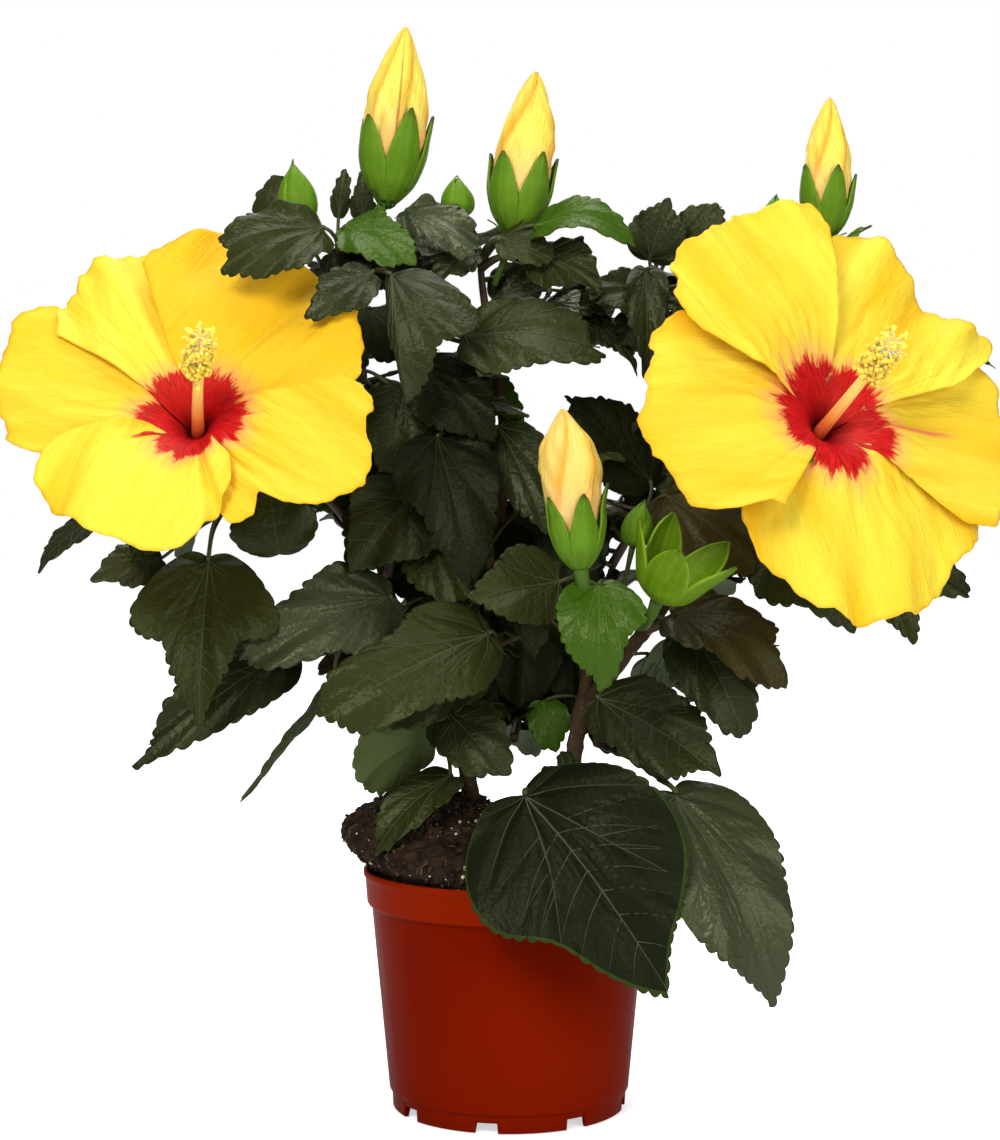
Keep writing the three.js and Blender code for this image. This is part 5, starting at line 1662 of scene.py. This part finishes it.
def soil_materials():
    peat = Look("peat", (0.04, 0.02, 0.012), 0.95, Specular_IOR_Level=0.15)
    clods = peat.spread(peat.noise(2.4, 5.0), 0.35, 0.68)
    peat.set("Base Color", peat.mix(clods, (0.008, 0.005, 0.003), (0.042, 0.024, 0.013)))
    peat.set("Normal", peat.bump(peat.noise(1.1, 5.0), 1.1))
    crumb = Look("peat_crumb", (0.06, 0.03, 0.018), 0.95, Specular_IOR_Level=0.15)
    tone = crumb.mix(crumb.value("damp"), (0.008, 0.005, 0.003), (0.085, 0.044, 0.021))
    speckle = crumb.times(crumb.noise(1.0), 0.5)
    crumb.set("Base Color", crumb.mix(speckle, tone, (0.03, 0.016, 0.01)))
    crumb.set("Normal", crumb.bump(crumb.noise(0.6), 0.4))
    perlite = Look("perlite", (0.80, 0.76, 0.62), 0.8)
    perlite.set("Base Color", perlite.mix(perlite.noise(2.2), (0.45, 0.34, 0.18), (0.80, 0.76, 0.62)))
    perlite.set("Normal", perlite.bump(perlite.noise(0.5), 0.5))
    fibre = Look("peat_fibre", (0.12, 0.07, 0.04), 0.9)
    fibre.set("Base Color", fibre.mix(fibre.value("damp"), (0.05, 0.026, 0.015), (0.15, 0.085, 0.042)))
    return [peat.material, perlite.material, fibre.material, crumb.material]


# ---- the whole plant ----


def rooted(parts, base, route):
    """A small bud's stalk from its twig."""
    route = spline(route, 60)
    nearest = int(np.linalg.norm(route - base, axis=1).argmin())
    start = route[max(0, min(nearest - 5, 55))]
    middle = (start + base) / 2 + (base - start) * (0, 0, -0.12) + (0, 0, -0.5)
    tube(parts, spline([start, middle, base], 10), [1.0, 0.85, 1.3], 8, age=0.05)


def build_foliage(rng, cover, bud_looks):
    """The leaves of each mass, the twigs and stalks that carry them, and the small buds among them."""
    stalks = Parts(("age",))
    buds = Parts(BUD_VALUES)
    blades = {}
    for name, spec in MASSES.items():
        blades[name] = [Blade(each, int(rng.integers(1 << 30))) for each in spec["leaves"]]
        for blade in blades[name]:
            if blade.spec["face"] != BACKWARD:
                cover.add(blade.rings)
    for patch in CLOSED:
        cover.close(cover.ellipse(*patch))
    for patch in OPEN:
        cover.gaps.update(cover.ellipse(*patch))
    for number, (name, spec) in enumerate(MASSES.items()):
        rng = np.random.default_rng((SEED, number))
        tube(stalks, spline(spec["twig"], 30), [2.1, 1.7, 1.3], 12, age=[0.75, 0.5, 0.2])
        for blade in blades[name]:
            petiole(stalks, blade, spec["twig"], rng)
        for base, tip, radius in spec.get("buds", ()):
            small_bud(buds, base, tip, radius, rng)
            rooted(stalks, np.array(base, float), spec["twig"])
        if "grow" in spec:
            grown, shoots = grown_leaves(spec["twig"], rng, cover, spec["grow"])
            for shoot in shoots:
                tube(stalks, shoot, [1.2, 0.8], 7, age=[0.5, 0.15])
            for blade, shoot in grown:
                petiole(stalks, blade, shoot, rng, 0.2)
                blades[name].append(blade)
    for name, spec in BACK_SHOOTS.items():
        leaves = [small_blade(each, int(rng.integers(1 << 30))) for each in whorl(spec, rng)]
        tube(stalks, spline(spec["shoot"], 30), [2.1, 1.7, 1.1], 10, age=[0.7, 0.4, 0.1])
        for blade in leaves:
            petiole(stalks, blade, spec["shoot"], rng, 0.25)
        blades[name] = leaves
    for name, leaves in blades.items():
        parts = Parts()
        for blade in leaves:
            blade.add_to(parts)
        make(name.replace("foliage", "leaves"), parts, LEAF_COLOURS, (name,))
    make("twigs", stalks, [twig_look()])
    make("young_buds", buds, bud_looks)


def build_plant():
    rng = np.random.default_rng(SEED)
    cover = Cover()
    bloom_looks = bloom_materials()
    bud_green = sepal_look("bud_sepal", (0.085, 0.19, 0.008), (0.16, 0.28, 0.018), (0.03, 0.06, 0.006))
    spent_green = sepal_look("spent_sepal", (0.095, 0.19, 0.002), (0.20, 0.33, 0.02), (0.09, 0.16, 0.008))
    bract = sepal_look("bract", (0.035, 0.085, 0.006), (0.06, 0.12, 0.01), (0.012, 0.025, 0.003))
    bud_looks = [bud_look(), bud_green, stalk_look(), bract]
    for name, spec in BLOOMS.items():
        build_bloom(name, spec, bloom_looks, rng, cover)
    for name, spec in BUDS.items():
        build_bud(name, spec, bud_looks, rng, cover)
    build_spent_calyx([bud_looks[0], spent_green, *bud_looks[2:]], rng, cover)
    build_foliage(rng, cover, bud_looks)
    build_wood(rng)
    build_pot()
    build_soil(rng)


# ---- camera, light and floor ----


def aim(thing, place, target):
    """Puts a camera or lamp at a place, in mm, pointing at a target."""
    place, target = np.array(place, float), np.array(target, float)
    back = unit(place - target)
    right = unit(np.cross((0, 0, 1), back))
    up = np.cross(back, right)
    rows = [(*map(float, (right[i], up[i], back[i])), float(place[i]) * MM) for i in range(3)]
    thing.matrix_world = Matrix([*rows, (0, 0, 0, 1)])
    bpy.context.scene.collection.objects.link(thing)


def soft_light(name, place, target, size, watts):
    lamp = bpy.data.lights.new(name, "AREA")
    lamp.shape = "DISK"
    lamp.size = size
    lamp.energy = watts
    aim(bpy.data.objects.new(name, lamp), place, target)


def build_studio():
    scene = bpy.context.scene
    scene.view_settings.view_transform = "Standard"
    camera = bpy.data.cameras.new("camera")
    camera.sensor_fit = "VERTICAL"
    camera.sensor_height = SENSOR
    camera.lens = LENS
    viewer = bpy.data.objects.new("camera", camera)
    aim(viewer, EYE, EYE + 1000 * np.array([0, math.cos(EYE_DOWN), -math.sin(EYE_DOWN)]))
    scene.camera = viewer
    world = bpy.data.worlds.new("studio")
    world.use_nodes = True
    tree = world.node_tree
    background = tree.nodes["Background"]
    seen = tree.nodes.new("ShaderNodeLightPath")
    strength = tree.nodes.new("ShaderNodeMapRange")
    strength.inputs["To Min"].default_value = 0.2
    strength.inputs["To Max"].default_value = 1.0
    tree.links.new(seen.outputs["Is Camera Ray"], strength.inputs["Value"])
    tree.links.new(strength.outputs[0], background.inputs["Strength"])
    background.inputs["Color"].default_value = (1, 1, 1, 1)
    scene.world = world
    soft_light("key", (-380, -920, 860), (0, 0, 240), 0.5, 9)
    soft_light("fill", (700, -900, 480), (0, 0, 250), 0.7, 5.5)
    soft_light("top", (0, 60, 1250), (0, 0, 200), 0.8, 8)
    soft_light("back", (0, 900, 700), (0, 0, 220), 0.9, 5)
    floor = bpy.data.meshes.new("floor")
    reach, sides = 6.0, 96
    turn = np.linspace(0, 2 * np.pi, sides, endpoint=False)
    floor.from_pydata([(reach * math.cos(t), reach * math.sin(t), -0.0004) for t in turn], [],
                      [tuple(range(sides))])
    look = Look("floor", (0.9, 0.9, 0.9), 0.9, Specular_IOR_Level=0.0)
    away = look.node("ShaderNodeVectorMath", {0: look.place}, operation="LENGTH").outputs["Value"]
    look.set("Emission Color", (1, 1, 1))
    seen = look.node("ShaderNodeLightPath").outputs["Is Camera Ray"]
    look.set("Emission Strength", look.times(look.spread(away, 0.06, 0.30, 0.60, 1.0), seen))
    floor.materials.append(look.material)
    ground = bpy.data.objects.new("floor", floor)
    scene.collection.objects.link(ground)


build_plant()
build_studio()
bpy.context.view_layer.update()
